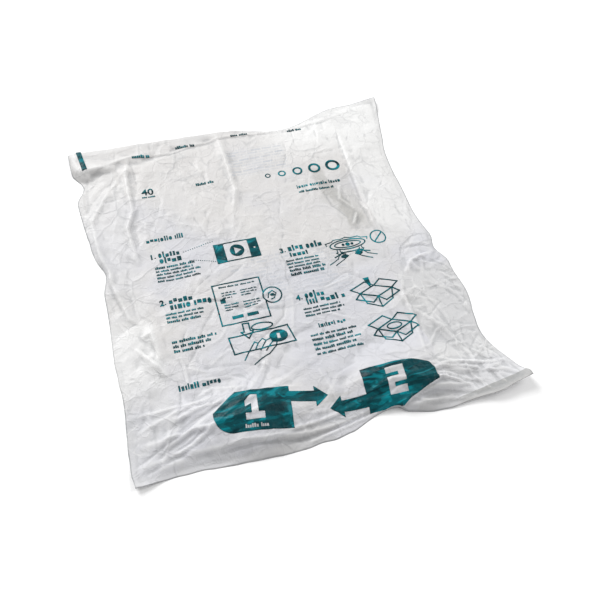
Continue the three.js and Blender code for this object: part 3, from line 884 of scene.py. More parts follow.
def crinkle_bump(tree, vector, shader, distance):
    """The fine crinkle of thin film, too small for the mesh."""
    patchy = scaled(tree, noise_node(tree, vector, WIDE_PATCHES, 3), 0.42, 0.6)
    elsewhere = scaled(tree, noise_node(tree, vector, THIN_PATCHES, 3), 0.45, 0.6)
    parts = [
        (product(tree, crease_lines(tree, vector, WIDE_CELLS, 0.0022, 0.05), patchy), 0.3),
        (product(tree, crease_lines(tree, vector, THIN_CELLS, 0.0012, 0.02), elsewhere), 0.2),
        (ridge_lines(tree, vector, 32, 0.05), 0.22),
        (ridge_lines(tree, vector, 95, 0.07), 0.1),
        (noise_node(tree, vector, 300, 4, 0.65, 0.8), 0.25),
    ]
    height = 0.0
    for part, share in parts:
        height = maths(tree, "ADD", maths(tree, "MULTIPLY", part, share), height)
    inputs = {"Strength": 1.0, "Distance": distance, "Height": height}
    bump = node(tree, "ShaderNodeBump", inputs)
    tree.links.new(bump.outputs["Normal"], shader.inputs["Normal"])


def ghost_lines(tree, vector, across, along, low, high):
    """Rows of word-like blocks inside a box: the back's print, seen faintly through."""
    inputs = {"Vector": vector, "Scale": 1.0, "Mortar Size": 0.0009, "Mortar Smooth": 0.2,
              "Brick Width": 0.013, "Row Height": 0.0044, "Color1": (1, 1, 1, 1),
              "Color2": (0.15, 0.15, 0.15, 1), "Mortar": (0, 0, 0, 1)}
    rows = node(tree, "ShaderNodeTexBrick", inputs, offset=0.37)
    soft = 0.004
    mask = rows.outputs["Color"]
    for place, start, end in ((across, low[0], high[0]), (along, low[1], high[1])):
        mask = maths(tree, "MULTIPLY", mask, scaled(tree, place, start, start + soft))
        mask = maths(tree, "MULTIPLY", mask, scaled(tree, place, end, end - soft))
    return mask


# Boxes of the back's print that show through, as low and high corners in metres.
UPPER_GHOST = ((-0.02, 0.116), (0.052, 0.162))
LOWER_GHOST = ((-0.055, -0.066), (0.066, 0.006))

# The film's tones, with its painted light and painted shade, in the order in which they are laid
# over each other, in metres of the flat film where the place is one. See toned().
FILM_TONES = (
    # The see-through margins beyond the liner, and painted light on the upper right corner between
    # them.
    ("margin", 0.75, ("right_edge", 0.1125, 0.1155), ("along", -0.045, -0.06),
     ("along", -0.172, -0.158)),
    ("pale", 1, ("along", 0.11, 0.17), ("across", 0.0, 0.09)),
    ("margin", 0.3, ("left_edge", -0.1475, -0.1495)),
    ("ghost", 0.62, "upper_ghost"),
    ("ghost", 0.52, "lower_ghost"),
    # Painted shade below the rings, deeper within it, and along the gathers by the seal; then
    # painted light along the upper right edge.
    ("painted_shade", 0.3, ("painted_shade_across", 0.072, 0.09), ("right_edge", 0.1165, 0.1140),
     ("painted_shade_along", 0.006, 0.018), ("painted_shade_along", 0.125, 0.085)),
    ("painted_shade", 0.62, ("hollow_away", 0.0105, 0.0055), ("hollow_along", 0.019, 0.027),
     ("hollow_along", 0.112, 0.098)),
    ("painted_shade", 0.46, ("pulled", 0.47, 0.6), ("along", -0.138, -0.17), ("across", -0.12, -0.04),
     ("across", 0.14, 0.09)),
    ("pale", 0.7, ("right_edge", 0.118, 0.122), ("along", -0.03, 0.02)),
    # The seal along the edge and the cut itself; then painted light above the folded strip at the
    # lower right, and painted shade on the strip.
    ("margin", 0.22, ("rim", 0.0075, 0.0065)),
    ("edge", 0.75, ("rim", 0.0016, 0.0004)),
    ("pale", 0.4, ("across", 0.085, 0.115), ("along", -0.135, -0.165)),
    ("strip", 1, ("strip_edge", -0.2126, -0.2134), ("across", 0.095, 0.125)),
    # Where the plies part; then painted shade along the creases, painted glints on them, and
    # painted light along the lower left side.
    ("margin", 0.38, ("apart", 0.54, 0.66)),
    ("margin", 0.16, ("smoke", 0.35, 0.75)),
    ("edge", 0.3, "wide_lines", ("wide_patches", 0.45, 0.6)),
    ("edge", 0.22, "thin_lines", ("thin_patches", 0.48, 0.6)),
    ("pale", 0.55, "glint_lines", ("glint_patches", 0.5, 0.6), "creased"),
    ("pale", 0.55, ("across", -0.134, -0.146), ("along", -0.03, -0.055),
     ("along", -0.13, -0.1)),
    # Painted shade in the hollows and painted highlights on the crests of the mesh's own folds.
    ("edge", 0.36, ("fold", -0.12, -0.8)),
    ("pale", 0.3, ("fold", 0.15, 0.9)),
)


def film_places(tree, sheet, across, along):
    """Every place that FILM_TONES names, as a socket."""
    waver = maths(tree, "MULTIPLY", noise_node(tree, sheet, 22, 2), 0.012)
    bend = noise_node(tree, sheet, 26, 3, 0.6)

    def swayed(place, most):
        return maths(tree, "ADD", place, scaled(tree, bend, 0.3, 0.7, -most, most))

    def attribute(name):
        return node(tree, "ShaderNodeAttribute", attribute_name=name).outputs["Fac"]

    right_edge = maths(tree, "ADD", across, waver)
    # The middle of the painted shade below the rings, where it is deepest.
    hollow_along = swayed(along, -0.007)
    hollow_middle = scaled(tree, hollow_along, 0.074, 0.024, 0.0785, 0.096)
    hollow_across = maths(tree, "SUBTRACT", swayed(across, -0.0045), hollow_middle)
    right_band = product(tree, scaled(tree, right_edge, 0.1125, 0.1155),
                         scaled(tree, along, -0.045, -0.06), scaled(tree, along, -0.172, -0.158))
    loose_left = scaled(tree, across, -0.15, -0.158, 0, 0.8)
    return {
        "across": across,
        "along": along,
        "right_edge": right_edge,
        "left_edge": maths(tree, "SUBTRACT", across, waver),
        "upper_ghost": ghost_lines(tree, sheet, across, along, *UPPER_GHOST),
        "lower_ghost": ghost_lines(tree, sheet, across, along, *LOWER_GHOST),
        # Places of the painted shade below the rings.
        "painted_shade_across": swayed(across, 0.02),
        "painted_shade_along": swayed(along, -0.026),
        "hollow_along": hollow_along,
        "hollow_away": maths(tree, "ABSOLUTE", hollow_across),
        # Streaks of the painted shade by the seal.
        "pulled": noise_node(tree, leaning(tree, sheet, -8, 5.5), 13, 3, 0.5, 0.8),
        "rim": attribute("rim"),
        "strip_edge": maths(tree, "ADD", along, maths(tree, "MULTIPLY", across, -0.12)),
        "apart": noise_node(tree, sheet, 15, 3, 0.6, 1.6),
        "smoke": noise_node(tree, sheet, 60, 5, 0.6, 1.0),
        "wide_lines": crease_lines(tree, sheet, WIDE_CELLS, 0.0013, 0.05),
        "wide_patches": noise_node(tree, sheet, WIDE_PATCHES, 3),
        "thin_lines": crease_lines(tree, sheet, THIN_CELLS, 0.0008, 0.02),
        "thin_patches": noise_node(tree, sheet, THIN_PATCHES, 3),
        "glint_lines": crease_lines(tree, sheet, 42, 0.0011, 0.03),
        "glint_patches": noise_node(tree, sheet, 46, 2),
        "creased": maths(tree, "MAXIMUM", right_band, loose_left),
        "fold": attribute("fold"),
    }


def film_material(settings):
    """White film over a liner: warm and cool patches, a greyer see-through margin, and painted
    light and shade on its folds, creases and patches.
    """
    material, tree, shader = new_material("white_film")
    sheet = node(tree, "ShaderNodeUVMap", uv_map="Sheet").outputs["UV"]
    split = node(tree, "ShaderNodeSeparateXYZ", {0: sheet})
    across, along = split.outputs["X"], split.outputs["Y"]
    cloud = noise_node(tree, sheet, 9, 4, 0.55, 0.4)
    cooler = maths(tree, "SUBTRACT", cloud, maths(tree, "MULTIPLY", along, 0.9))
    colour = mixed(tree, scaled(tree, cooler, 0.36, 0.66), settings.face_colour,
                   settings.cool_colour)
    tints = {"margin": settings.margin_colour, "pale": settings.painted_light_colour,
             "ghost": settings.ghost_colour, "painted_shade": settings.painted_shade_colour,
             "edge": settings.edge_and_crease_shade_colour, "strip": settings.strip_shade_colour}
    places = film_places(tree, sheet, across, along)
    colour = toned(tree, colour, FILM_TONES, tints, places)
    rough = scaled(tree, cloud, 0.3, 0.7, 0.46, 0.6)
    fill_inputs(tree, shader, {"Base Color": colour, "Roughness": rough, **LET_THROUGH,
                               "Subsurface Weight": 0.12, "Specular IOR Level": 0.35,
                               "Coat Weight": 0.08, "Coat Roughness": 0.22})
    crinkle_bump(tree, sheet, shader, 0.0007)
    return material


def back_material(settings):
    """The plain back of the bag."""
    material, tree, shader = new_material("film_back")
    sheet = node(tree, "ShaderNodeUVMap", uv_map="Sheet").outputs["UV"]
    cloud = noise_node(tree, sheet, 11, 4)
    colour = mixed(tree, cloud, settings.face_colour, settings.cool_colour)
    rough = scaled(tree, cloud, 0.3, 0.7, 0.36, 0.5)
    fill_inputs(tree, shader, {"Base Color": colour, "Roughness": rough, **LET_THROUGH,
                               "Subsurface Weight": 0.1})
    crinkle_bump(tree, sheet, shader, 0.0008)
    return material


# Painted highlights and painted shade over the ink's streaks, in patches. See toned().
INK_TONES = (
    ("light", 1, ("streak", 0.52, 0.7)),
    ("dark", 0.6, ("patch", 0.5, 0.44)),
    ("light", 0.5, ("patch", 0.55, 0.6)),
)


def ink_material(settings):
    """Teal ink, with painted shade and painted highlights in streaks and patches."""
    found = bpy.data.materials.get("teal_ink")
    if found:
        return found
    material, tree, shader = new_material("teal_ink")
    place = node(tree, "ShaderNodeTexCoord").outputs["Object"]
    streak = noise_node(tree, leaning(tree, place, -14, 4.5), 17, 3, 0.5, 1.2)
    patch = noise_node(tree, leaning(tree, place, -24, 2.2), 26, 2, 0.5, 2.2)
    # Painted shade in the streaks, then painted highlights and painted shade in patches.
    colour = mixed(tree, scaled(tree, streak, 0.3, 0.5), settings.ink_shade_colour, settings.colour)
    tints = {"light": settings.ink_highlight_colour, "dark": settings.ink_shade_colour}
    colour = toned(tree, colour, INK_TONES, tints, {"streak": streak, "patch": patch})
    rough = scaled(tree, streak, 0.3, 0.7, 0.34, 0.48)
    fill_inputs(tree, shader, {"Base Color": colour, "Roughness": rough,
                               "Specular IOR Level": 0.14})
    crinkle_bump(tree, place, shader, 0.0008)
    return material


def add_object(name, mesh, *materials):
    piece = bpy.data.objects.new(name, mesh)
    for material in materials:
        mesh.materials.append(material)
    bpy.context.scene.collection.objects.link(piece)
    return piece


# Print: flat shapes in millimetres, filled with small triangles and laid on the film. An
# outline's longest straight step is GRAIN.

GRAIN = 1.0
INK_THICKNESS = 0.1 * MM


def densified(polygon):
    """The polygon anticlockwise, its long sides split so that it can follow the film."""
    area = sum(a[0] * b[1] - a[1] * b[0] for a, b in zip(polygon, polygon[1:] + polygon[:1]))
    if area < 0:
        polygon = polygon[::-1]
    out = []
    for k, start in enumerate(polygon):
        end = polygon[(k + 1) % len(polygon)]
        parts = max(1, math.ceil(math.dist(start, end) / GRAIN))
        for part in range(parts):
            share = part / parts
            out.append((start[0] + (end[0] - start[0]) * share,
                        start[1] + (end[1] - start[1]) * share))
    return out


def filled(inked, bare=()):
    """Vertices and triangles that fill the inked polygons, less the bare ones.

    The film's own grid points are among them, so that the ink bends where the film does.
    """
    inked = [densified(p) for p in inked]
    bare = [densified(p) for p in bare]
    points = []
    faces = []
    for polygon in inked + bare:
        faces.append(list(range(len(points), len(points) + len(polygon))))
        points += polygon
    outline = np.array(points)
    low, high = outline.min(axis=0), outline.max(axis=0)
    grid = film_state["film"].flat[:, :2] / MM
    inside = np.all((grid > low) & (grid < high), axis=1)
    points += [tuple(p) for p in grid[inside].tolist()]
    made = delaunay_2d_cdt([Vector(p) for p in points], [], faces, 0, 1e-4, True)
    verts, triangles, sources = made[0], made[2], made[5]
    first_bare = len(inked)
    kept = []
    for triangle, source in zip(triangles, sources):
        if source and max(source) < first_bare:
            kept.append(triangle)
    return verts, kept


def turned(points, degrees, x=0.0, y=0.0):
    """The points turned about the origin, then moved."""
    cos, sin = math.cos(math.radians(degrees)), math.sin(math.radians(degrees))
    return [(px * cos - py * sin + x, px * sin + py * cos + y) for px, py in points]


def rectangle(width, height, x=0.0, y=0.0):
    right, top = width / 2, height / 2
    return [(x - right, y - top), (x + right, y - top), (x + right, y + top), (x - right, y + top)]


def disc(radius_x, radius_y=None, x=0.0, y=0.0, steps=36):
    radius_y = radius_x if radius_y is None else radius_y
    turns = [2 * math.pi * k / steps for k in range(steps)]
    return [(x + radius_x * math.cos(t), y + radius_y * math.sin(t)) for t in turns]


def stroke(start, end, width):
    """A straight line of ink, a little longer at each end so that corners close."""
    dx, dy = end[0] - start[0], end[1] - start[1]
    length = math.hypot(dx, dy)
    ux, uy = dx / length * width / 2, dy / length * width / 2
    return [
        (start[0] - ux + uy, start[1] - uy - ux), (end[0] + ux + uy, end[1] + uy - ux),
        (end[0] + ux - uy, end[1] + uy + ux), (start[0] - ux - uy, start[1] - uy + ux),
    ]


def strokes(path, width):
    return [stroke(a, b, width) for a, b in zip(path[:-1], path[1:])]


def glyph(text, size, weight):
    """The triangles of a plain numeral, centred, in millimetres."""
    curve = bpy.data.curves.new("numeral", "FONT")
    curve.body = text
    curve.size = size
    curve.offset = weight
    curve.align_x = "CENTER"
    curve.align_y = "CENTER"
    curve.resolution_u = 4
    holder = bpy.data.objects.new("numeral", curve)
    bpy.context.scene.collection.objects.link(holder)
    bpy.context.view_layer.update()
    mesh = bpy.data.meshes.new_from_object(holder)
    polygons = []
    for polygon in mesh.polygons:
        polygons.append([tuple(mesh.vertices[v].co[:2]) for v in polygon.vertices])
    bpy.data.objects.remove(holder)
    bpy.data.curves.remove(curve)
    bpy.data.meshes.remove(mesh)
    return polygons


def lay_ink(name, marks, nodes, settings):
    """One printed piece: its marks filled, laid on the draped film and given a thickness."""
    film = film_state["film"]
    bm = bmesh.new()
    for inked, bare in marks:
        verts, triangles = filled(inked, bare)
        used = sorted({v for triangle in triangles for v in triangle})
        made = {}
        for v in used:
            x, y = verts[v]
            made[v] = bm.verts.new(film.place(x * MM, y * MM, settings.offset))
        for triangle in triangles:
            f = bm.faces.new([made[v] for v in triangle])
            f.smooth = True
    bmesh.ops.dissolve_degenerate(bm, edges=bm.edges, dist=1e-7)
    bm.normal_update()
    piece = add_object(name, finished_mesh(bm, name), ink_material(settings))
    wall = piece.modifiers.new("Ink thickness", "SOLIDIFY")
    wall.thickness = INK_THICKNESS
    wall.offset = -1
    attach(piece, "root")
    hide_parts(*nodes)
    return piece


# The design of the print, in millimetres from the middle of the bag.

FIELD = {"length": 70, "height": 41, "round": 19, "shaft": 23, "shaft_width": 11,
         "offset": 9.5, "head": 12, "head_width": 21}
NUMERAL = {"height": 25, "width": 17, "bold": 6}
LEFT_FIELD = {"x": -75, "y": -163, "turn": -9}
RIGHT_FIELD = {"x": 64, "y": -174, "turn": 175}
STRIPE = {"x": -174, "y": 183, "length": 32, "width": 5.5, "turn": 95.5}
PRINT_TURN = -1.5
MIDDLE = {"x": 0, "y": 0}

# Where the film hides a field's corner in a fold.
LEFT_FOLDED = [[(-116, -161), (-82, -138), (-116, -132)]]
RIGHT_FOLDED = [[(108, -178), (66, -191), (40, -203), (70, -208), (110, -204)],
                [(72, -154), (106, -166), (106, -148), (80, -145)]]


def field_outline():
    """A block with one round end and an arrow out of the other."""
    right, top = FIELD["length"] / 2, FIELD["height"] / 2
    middle = FIELD["offset"]
    neck = right + FIELD["shaft"]
    half_shaft, half_head = FIELD["shaft_width"] / 2, FIELD["head_width"] / 2
    points = [(right, -top), (right, middle - half_shaft), (neck, middle - half_shaft),
              (neck, middle - half_head), (neck + FIELD["head"], middle),
              (neck, middle + half_head), (neck, middle + half_shaft),
              (right, middle + half_shaft), (right, top)]
    radius = FIELD["round"]
    for centre_y, start in ((top - radius, 90), (radius - top, 180)):
        for k in range(13):
            angle = math.radians(start + 90 * k / 12)
            x = radius - right + radius * math.cos(angle)
            points.append((x, centre_y + radius * math.sin(angle)))
    return points


def placed(polygons, place):
    return [turned(p, place.get("turn", PRINT_TURN), place["x"], place["y"]) for p in polygons]


def numeral_one():
    top, bold = NUMERAL["height"] / 2, NUMERAL["bold"]
    side, foot = bold / 2, NUMERAL["width"] / 2
    return [(side, top), (-side, top), (-foot, top - bold), (-foot, top - 2 * bold),
            (-side, top - 1.5 * bold), (-side, bold - top), (-foot, bold - top), (-foot, -top),
            (foot, -top), (foot, bold - top), (side, bold - top)]


def numeral_two():
    top, bold = NUMERAL["height"] / 2, NUMERAL["bold"]
    side, half = NUMERAL["width"] / 2, bold / 2
    return [(-side, top), (side, top), (side, -half), (bold - side, -half),
            (bold - side, bold - top), (side, bold - top), (side, -top), (-side, -top),
            (-side, half), (side - bold, half), (side - bold, top - bold), (-side, top - bold)]


def field_marks(place, numeral, numeral_turn, shift, folded):
    """One field, less its numeral and the corners that are folded under."""
    outline = placed([field_outline()], place)
    return [(outline, placed([turned(numeral, numeral_turn, *shift)], place) + folded)]


def words(x, y, width, height, rng, lines=1, pitch=3.4):
    """Lines of small marks that read as print from a step away and say nothing."""
    marks = []
    for row in range(lines):
        reach = width if row < lines - 1 or lines == 1 else width * rng.uniform(0.45, 0.8)
        at = 0.0
        left_in_word = rng.randint(3, 8)
        while at < reach:
            stem = height * rng.uniform(0.45, 0.68)
            tall = height * rng.choice((0.72, 0.72, 1.0))
            middle = (x + at + stem / 2, y - row * pitch + tall / 2)
            marks.append(rectangle(stem * 0.82, tall, *middle))
            at += stem
            left_in_word -= 1
            if left_in_word == 0:
                at += height * 0.5
                left_in_word = rng.randint(3, 8)
    return marks


# Plain bold marks, in shares of a mark's width and height from its lower left.
MARKS = (
    [(0, 0), (1, 0), (1, 1), (0, 1)],
    [(0, 0), (0.5, 0), (0.5, 1.35), (0, 1.35)],
    [(0, 0), (1, 0), (1, 0.72), (0, 0.72)],
    [(0.25, 0), (0.75, 0), (1, 0.3), (1, 0.7), (0.75, 1), (0.25, 1), (0, 0.7), (0, 0.3)],
    [(0, 0), (0.55, 0), (0.55, 1), (0, 1)],
    [(0, 0.3), (1, 0.3), (1, 1), (0, 1)],
)


def heading(x, y, width, height, rng):
    """A bold line of plain marks, that read as print from a step away and say nothing."""
    marks = []
    at = 0.0
    left_in_word = rng.randint(4, 8)
    while at < width:
        shape = rng.choice(MARKS)
        block = height * rng.uniform(0.42, 0.62)
        marks.append([(x + at + px * block, y + py * height * 0.8) for px, py in shape])
        at += block * max(px for px, _ in shape) + height * 0.17
        left_in_word -= 1
        if left_in_word == 0:
            at += height * 0.36
            left_in_word = rng.randint(4, 8)
    return marks


def carton(width):
    """An open carton in lines, with its four flaps folded out."""
    side, depth, wall, taper = 17, 7, 13, 0.8
    west, north, east, south = (-side, 0), (0, depth), (side, 0), (0, -depth)
    low_south = (0, -depth - wall)
    paths = [[west, north, east, south, west]]
    paths.append([west, (-side * taper, -wall), low_south, (side * taper, -wall), east])
    paths.append([south, low_south])
    for way in (-1, 1):
        corner, high = (way * (side + 8), 6), (way * 8, depth + 6)
        paths.append([(way * side, 0), corner, high, north])
        paths.append([(way * side, 0), (way * (side + 6), -6), (way * 7, -depth - 6), south])
    return [s for path in paths for s in strokes(path, width)]


# Lines of the small pictures, in millimetres from each picture's middle.
HAND_LINES = (
    [(-22, -18), (-15, -8), (-9, 0), (-6, -2), (-10, -9)],
    [(-6, -2), (-1, 2), (2, -1), (-5, -10)],
    [(2, -1), (7, 1), (8, -3), (0, -12)],
    [(8, -3), (12, -4), (10, -9), (2, -16)],
    [(2, -16), (-6, -19), (-14, -24)],
)
ARROW_TIP = ((-1.5, -5), (-1.5, -9), (-3, -9), (0, -12.5), (3, -9), (1.5, -9), (1.5, -5))
CUFF_LINES = (
    [(-26, -22), (-16, -17), (-12, -11), (-6, -12)],
    [(26, -20), (17, -16), (12, -10), (5, -12)],
    [(-20, -24), (-10, -19), (-4, -15)],
    [(20, -23), (10, -18), (4, -14)],
)


class FOAMBAG_OT_film(bpy.types.Operator):
    """Drape and crumple the film over the solid"""

    bl_idname = "foambag.film"
    bl_label = "Film"

    def execute(self, context):
        settings = context.scene.foambag_film
        plan, face, low, inset = draped_face(settings)
        film_state["film"] = Film(plan, face)
        mesh = film_mesh(plan, face, low, inset)
        piece = add_object("film", mesh, film_material(settings), back_material(settings))
        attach(piece, "root")
        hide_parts("bag")
        return {"FINISHED"}


class FOAMBAG_OT_fields(bpy.types.Operator):
    """Print the two arrow fields over the pouches and the stripe on the hem"""

    bl_idname = "foambag.fields"
    bl_label = "Arrow fields"

    def execute(self, context):
        settings = context.scene.foambag_ink
        rng = random.Random(12)
        under = words(-8, -17.5, 19, 3.4, rng)
        bare = LEFT_FOLDED + placed(under, LEFT_FIELD)
        left = field_marks(LEFT_FIELD, numeral_one(), 0, (2, 2), bare)
        lay_ink("left_arrow_field", left, ["left_field"], settings)
        right = field_marks(RIGHT_FIELD, numeral_two(), 180, (5, -2.5), RIGHT_FOLDED)
        lay_ink("right_arrow_field", right, ["right_field"], settings)
        stripe = placed([rectangle(STRIPE["length"], STRIPE["width"])], STRIPE)
        lay_ink("hem_stripe", [(stripe, [])], ["end_stripe"], settings)
        return {"FINISHED"}


class FOAMBAG_OT_pictures(bpy.types.Operator):
    """Print the small pictures beside the steps"""

    bl_idname = "foambag.pictures"
    bl_label = "Pictures"

    def execute(self, context):
        settings = context.scene.foambag_ink
        width = settings.line_width / MM
        marks = []

        def add(place, inked, bare=()):
            marks.append((placed(inked, place), placed(list(bare), place)))

        def ring(place, reach_x, reach_y, x=0.0, y=0.0):
            hole = disc(reach_x - width, reach_y - width, x, y)
            add(place, [disc(reach_x, reach_y, x, y)], [hole])

        card = {"x": -40, "y": 18}
        window = rectangle(25, 25 - 2 * width)
        add(card, [rectangle(46, 25)], [window, disc(1.1, x=18.5)])
        rng = random.Random(8)
        add(card, [disc(7.5)], [[(-2.6, -4.2), (4.8, 0), (-2.6, 4.2)]])

        sheet = {"x": -53, "y": -44}
        border = strokes([(-24, -24), (24, -24), (24, 24), (-24, 24), (-24, -24)], width)
        add(sheet, border + [disc(10, x=32)], [disc(10 - width, x=32)])
        small = []
        for y in (12, -2):
            for x, reach in ((-17, 14), (2, 16)):
                small += words(x, y, reach, 1.6, rng, 3, 3)
        small += [rectangle(11, 3.6, -7, -17), rectangle(11, 3.6, 8, -17), rectangle(5, 5, -17, 4)]
        small += words(-18, 19, 20, 2.2, rng) + words(4, 19, 14, 1.6, rng)
        add(sheet, small)
        hook = [(27, -3), (29, 3), (33, 5), (36, 1), (33, -4), (30, -5)]
        add(sheet, strokes(hook, width * 0.8))
        add(sheet, [disc(2.4, 1.7, 32, 0)])

        pad = {"x": -44, "y": -93, "turn": -3}
        add(pad, strokes([(-30, -10), (30, -7), (26, 12), (-32, 9), (-30, -10)], width))
        add(pad, [disc(9, 7, x=15, y=2)], [rectangle(3, 6, 15, 2)])
        arrow = [(-16, 22), (-10, 22), (-10, 13), (-7, 13), (-13, 5), (-19, 13), (-16, 13),
                 (-16, 22)]
        add(pad, strokes(arrow, width))
        for path in HAND_LINES:
            add(pad, strokes(path, width * 0.8))
        ring(pad, 11, 4.4, 2, 16)

        burst = {"x": 74, "y": -4}
        for reach_x, reach_y in ((20, 7), (15, 4.6)):
            ring(burst, reach_x, reach_y)
        add(burst, strokes([(-18, -14), (-8, -10), (8, -10), (20, -14)], width))
        add(burst, [disc(4, 2.4, -8, -15), disc(4, 2.4, 8, -14)])
        spikes = []
        for k in range(24):
            turn = 2 * math.pi * k / 24
            reach = 1.16 if k % 2 else 1.34
            spikes.append((20 * reach * math.cos(turn), 7 * reach * math.sin(turn)))
        add(burst, strokes(spikes[1:12], width * 0.7))
        for x in (-12, 12):
            tip = [(x + dx, y) for dx, y in ARROW_TIP]
            add(burst, strokes(tip, width * 0.7))
        for x, reach in ((-5, 1.6), (0, 2.4), (5, 1.6)):
            add(burst, [disc(reach, x=x)])
        for path in CUFF_LINES:
            add(burst, strokes(path, width * 0.7))

        stop = {"x": 109, "y": -3}
        ring(stop, 9, 9)
        add(stop, [stroke((-5, -5), (5, 5), width)])

        open_carton, full_carton = {"x": 81, "y": -68}, {"x": 83, "y": -112}
        add(open_carton, carton(width))
        add(open_carton, [[(-8, 18), (-2, 18), (-2, 10), (-4, 5), (-6, 10)]])
        add(full_carton, carton(width))
        ring(full_carton, 8, 4)
        nodes = ["card_picture", "sheet_picture", "pad_picture", "burst_picture", "stop_picture",
                 "open_carton_picture", "full_carton_picture"]
        lay_ink("step_pictures", marks, nodes, settings)
        return {"FINISHED"}


class FOAMBAG_OT_steps(bpy.types.Operator):
    """Print the numbered steps, with marks in place of words"""

    bl_idname = "foambag.steps"
    bl_label = "Numbered steps"

    def execute(self, context):
        settings = context.scene.foambag_ink
        rng = random.Random(5)
        marks = []

        def add(polygons, bare=()):
            marks.append((placed(polygons, MIDDLE), placed(list(bare), MIDDLE)))

        def step(number, x, y, head_width, lines, body=34, second=0):
            for triangle in glyph(number, 8.4, 0.35):
                add([[(px + x, py + y + 2.2) for px, py in triangle]])
            add([disc(0.7, x=x + 3.4, y=y + 0.6, steps=8)])
            add(heading(x + 7, y, head_width, 7, rng))
            drop = 1.5
            if second:
                add(heading(x + 7, y - 7.6, second, 7, rng))
                drop += 7.6
            for height in lines:
                drop += height + 1.7
                add(words(x + 1, y - drop, body * rng.uniform(0.8, 1.0), height, rng))

        add(heading(-129, 47, 37, 5.6, rng))
        add(heading(-129, -128, 37, 5.6, rng))
        step("1", -127, 26, 25, (3.2, 2.4, 2.4, 2.4, 2.4), 45, 21)
        step("2", -127, -32, 24, (2.4, 2.4, 3.0), 40, 38)
        for row in range(3):
            add(words(-126, -77 - 5.2 * row, 42 - 7 * row, 3.4, rng))
        step("3", 4, 3, 33, (2.4, 2.4, 2.4, 3.2, 3.4), 38, 20)
        step("4", 4, -58, 20, (2.4, 2.4, 2.4), 42, 38)
        add(heading(14, -94, 28, 4.6, rng))
        for row in range(5):
            add(words(3, -102 - 5.2 * row, 46 - 5 * (row % 2), 3.2 if row % 2 else 2.6, rng))
        for triangle in glyph("40", 13, 0.25):
            add([[(px - 116, py + 117) for px, py in triangle]])
        add(words(-123, 109, 14, 2.0, rng))
        add(words(-63, 115, 19, 3.6, rng))
        for x, y, reach in ((-124, 171, 18), (-74, 177, 22), (-8, 184, 20), (60, 179, 16)):
            add(words(x, y, reach, 3.6, rng))
        for k in range(14):
            add([disc(0.55, x=-94 + 2.4 * k, y=28 + 0.5 * k, steps=8)])
            add([disc(0.55, x=-86 + 2.1 * k, y=15 - 0.65 * k, steps=8)])
        for k in range(5):
            radius = 3.2 + 1.3 * k
            centre = 18 + 15.5 * k + 0.9 * k * k
            add([disc(radius, x=centre, y=112)], [disc(radius * 0.62, x=centre, y=112)])
        add(heading(45, 86, 52, 4.4, rng))
        add(words(45, 79, 40, 3.0, rng))
        nodes = ["upper_side_bar", "lower_side_bar"] + [f"step_{k}_bar" for k in range(1, 7)]
        lay_ink("step_print", marks, nodes, settings)
        return {"FINISHED"}


# The camera looks down on the bag from the photograph's side.
CAMERA = {
    "target": Vector((0.0019, -0.0483, 0.0)), "distance": 0.7118,
    "elevation": math.radians(55.133), "azimuth": math.radians(-22.6735),
    "roll": math.radians(5.8762),
}


def camera_matrix():
    yaw, rise = CAMERA["azimuth"], CAMERA["elevation"]
    back = Vector((math.sin(yaw) * math.cos(rise), -math.cos(yaw) * math.cos(rise), math.sin(rise)))
    right = Vector((math.cos(yaw), math.sin(yaw), 0))
    up = back.cross(right)
    roll = CAMERA["roll"]
    turned_right = math.cos(roll) * right + math.sin(roll) * up
    turned_up = math.cos(roll) * up - math.sin(roll) * right
    eye = CAMERA["target"] + back * CAMERA["distance"]
    rotation = Matrix((turned_right, turned_up, back)).transposed().to_4x4()
    return Matrix.Translation(eye) @ rotation


# The lamps, which all point at the middle of the bag, and the floor, whose far part is as
# white as the background to the camera.
KEY_LAMP = {"place": (-1.15, 2.5, 2.0), "size": 2.0}
FILL_LAMP = {"place": (2.0, 0.2, 1.8), "size": 1.6}
FLOOR_REACH = 4
WHITE = (1, 1, 1, 1)
FLOOR_FADE = (0.42, 0.95)


def shown_to_camera(tree, real, seen, output, share=None):
    """Gives the output a shader, and another one for what the camera itself sees."""
    factor = node(tree, "ShaderNodeLightPath").outputs["Is Camera Ray"]
    if share is not None:
        factor = maths(tree, "MULTIPLY", share, factor)
    mix = node(tree, "ShaderNodeMixShader", {"Fac": factor, 1: real, 2: seen})
    tree.links.new(mix.outputs["Shader"], tree.nodes[output].inputs["Surface"])


def area_lamp(name, place, size, power):
    data = bpy.data.lights.new(name, "AREA")
    data.shape = "DISK"
    data.size = size
    data.energy = power
    lamp = bpy.data.objects.new(name, data)
    lamp.location = place
    lamp.rotation_euler = (-Vector(place)).to_track_quat("-Z", "Y").to_euler()
    bpy.context.scene.collection.objects.link(lamp)
    return lamp


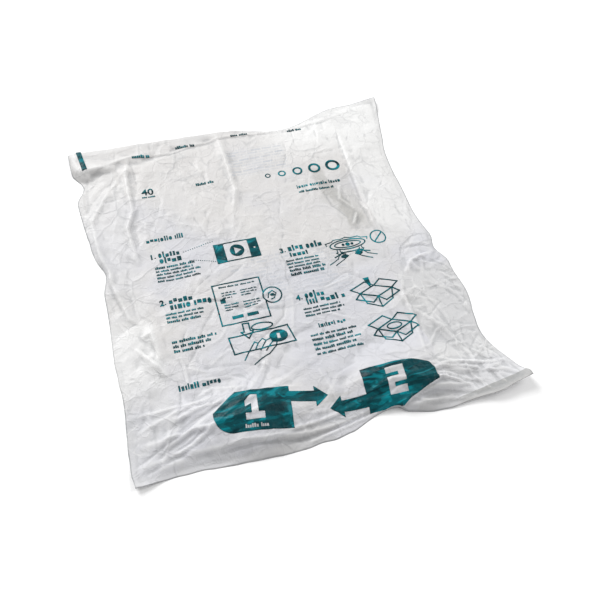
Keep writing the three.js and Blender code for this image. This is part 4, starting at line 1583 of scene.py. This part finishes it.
class FOAMBAG_OT_stage(bpy.types.Operator):
    """Set up the floor, the lamps and the camera"""

    bl_idname = "foambag.stage"
    bl_label = "Stage"

    def execute(self, context):
        settings = context.scene.foambag_stage
        scene = context.scene

        bm = bmesh.new()
        bmesh.ops.create_grid(bm, x_segments=1, y_segments=1, size=FLOOR_REACH)
        mesh = finished_mesh(bm, "floor")
        material, tree, shader = new_material("pale_floor")
        fill_inputs(tree, shader, {"Base Color": (0.98, 0.98, 0.98, 1), "Roughness": 0.9,
                                   "Specular IOR Level": 0.1})
        place = node(tree, "ShaderNodeTexCoord").outputs["Object"]
        away = node(tree, "ShaderNodeVectorMath", {0: place}, operation="LENGTH")
        far = scaled(tree, away.outputs["Value"], *FLOOR_FADE)
        glow = node(tree, "ShaderNodeEmission")
        shown_to_camera(tree, shader.outputs["BSDF"], glow.outputs["Emission"],
                        "Material Output", far)
        floor = add_object("floor", mesh, material)

        area_lamp("key", KEY_LAMP["place"], KEY_LAMP["size"], settings.key_power)
        area_lamp("fill", FILL_LAMP["place"], FILL_LAMP["size"], settings.fill_power)

        world = bpy.data.worlds.new("studio")
        world.use_nodes = True
        tree = world.node_tree
        light = tree.nodes["Background"]
        fill_inputs(tree, light, {"Color": WHITE, "Strength": settings.surround})
        seen = node(tree, "ShaderNodeBackground", {"Color": WHITE})
        shown_to_camera(tree, light.outputs["Background"], seen.outputs["Background"],
                        "World Output")
        scene.world = world

        data = bpy.data.cameras.new("camera")
        data.sensor_width = 36
        data.lens = settings.focal_length
        data.clip_start = 0.01
        camera = bpy.data.objects.new("camera", data)
        camera.matrix_world = camera_matrix()
        scene.collection.objects.link(camera)
        scene.camera = camera
        scene.view_settings.view_transform = "Standard"
        return {"FINISHED"}


class FOAMBAG_PT_panel(bpy.types.Panel):
    """The bag's pieces and settings"""

    bl_idname = "FOAMBAG_PT_panel"
    bl_label = "Foam Bag"
    bl_space_type = "VIEW_3D"
    bl_region_type = "UI"
    bl_category = "Foam Bag"

    def draw(self, context):
        layout = self.layout
        for group in (context.scene.foambag_film, context.scene.foambag_ink,
                      context.scene.foambag_stage):
            column = layout.column()
            for name in group.__annotations__:
                column.prop(group, name)
        for operator in OPERATORS:
            layout.operator(operator.bl_idname)


SETTINGS = {"foambag_film": FilmSettings, "foambag_ink": InkSettings,
            "foambag_stage": StageSettings}
OPERATORS = (FOAMBAG_OT_film, FOAMBAG_OT_fields, FOAMBAG_OT_pictures, FOAMBAG_OT_steps,
             FOAMBAG_OT_stage)


def register():
    for cls in (*SETTINGS.values(), *OPERATORS, FOAMBAG_PT_panel):
        bpy.utils.register_class(cls)
    for name, cls in SETTINGS.items():
        setattr(bpy.types.Scene, name, PointerProperty(type=cls))


def unregister():
    for name in SETTINGS:
        delattr(bpy.types.Scene, name)
    for cls in reversed((*SETTINGS.values(), *OPERATORS, FOAMBAG_PT_panel)):
        bpy.utils.unregister_class(cls)


def main():
    register()
    bpy.ops.foambag.film()
    bpy.ops.foambag.fields()
    bpy.ops.foambag.pictures()
    bpy.ops.foambag.steps()
    bpy.ops.foambag.stage()


if __name__ == "__main__":
    main()
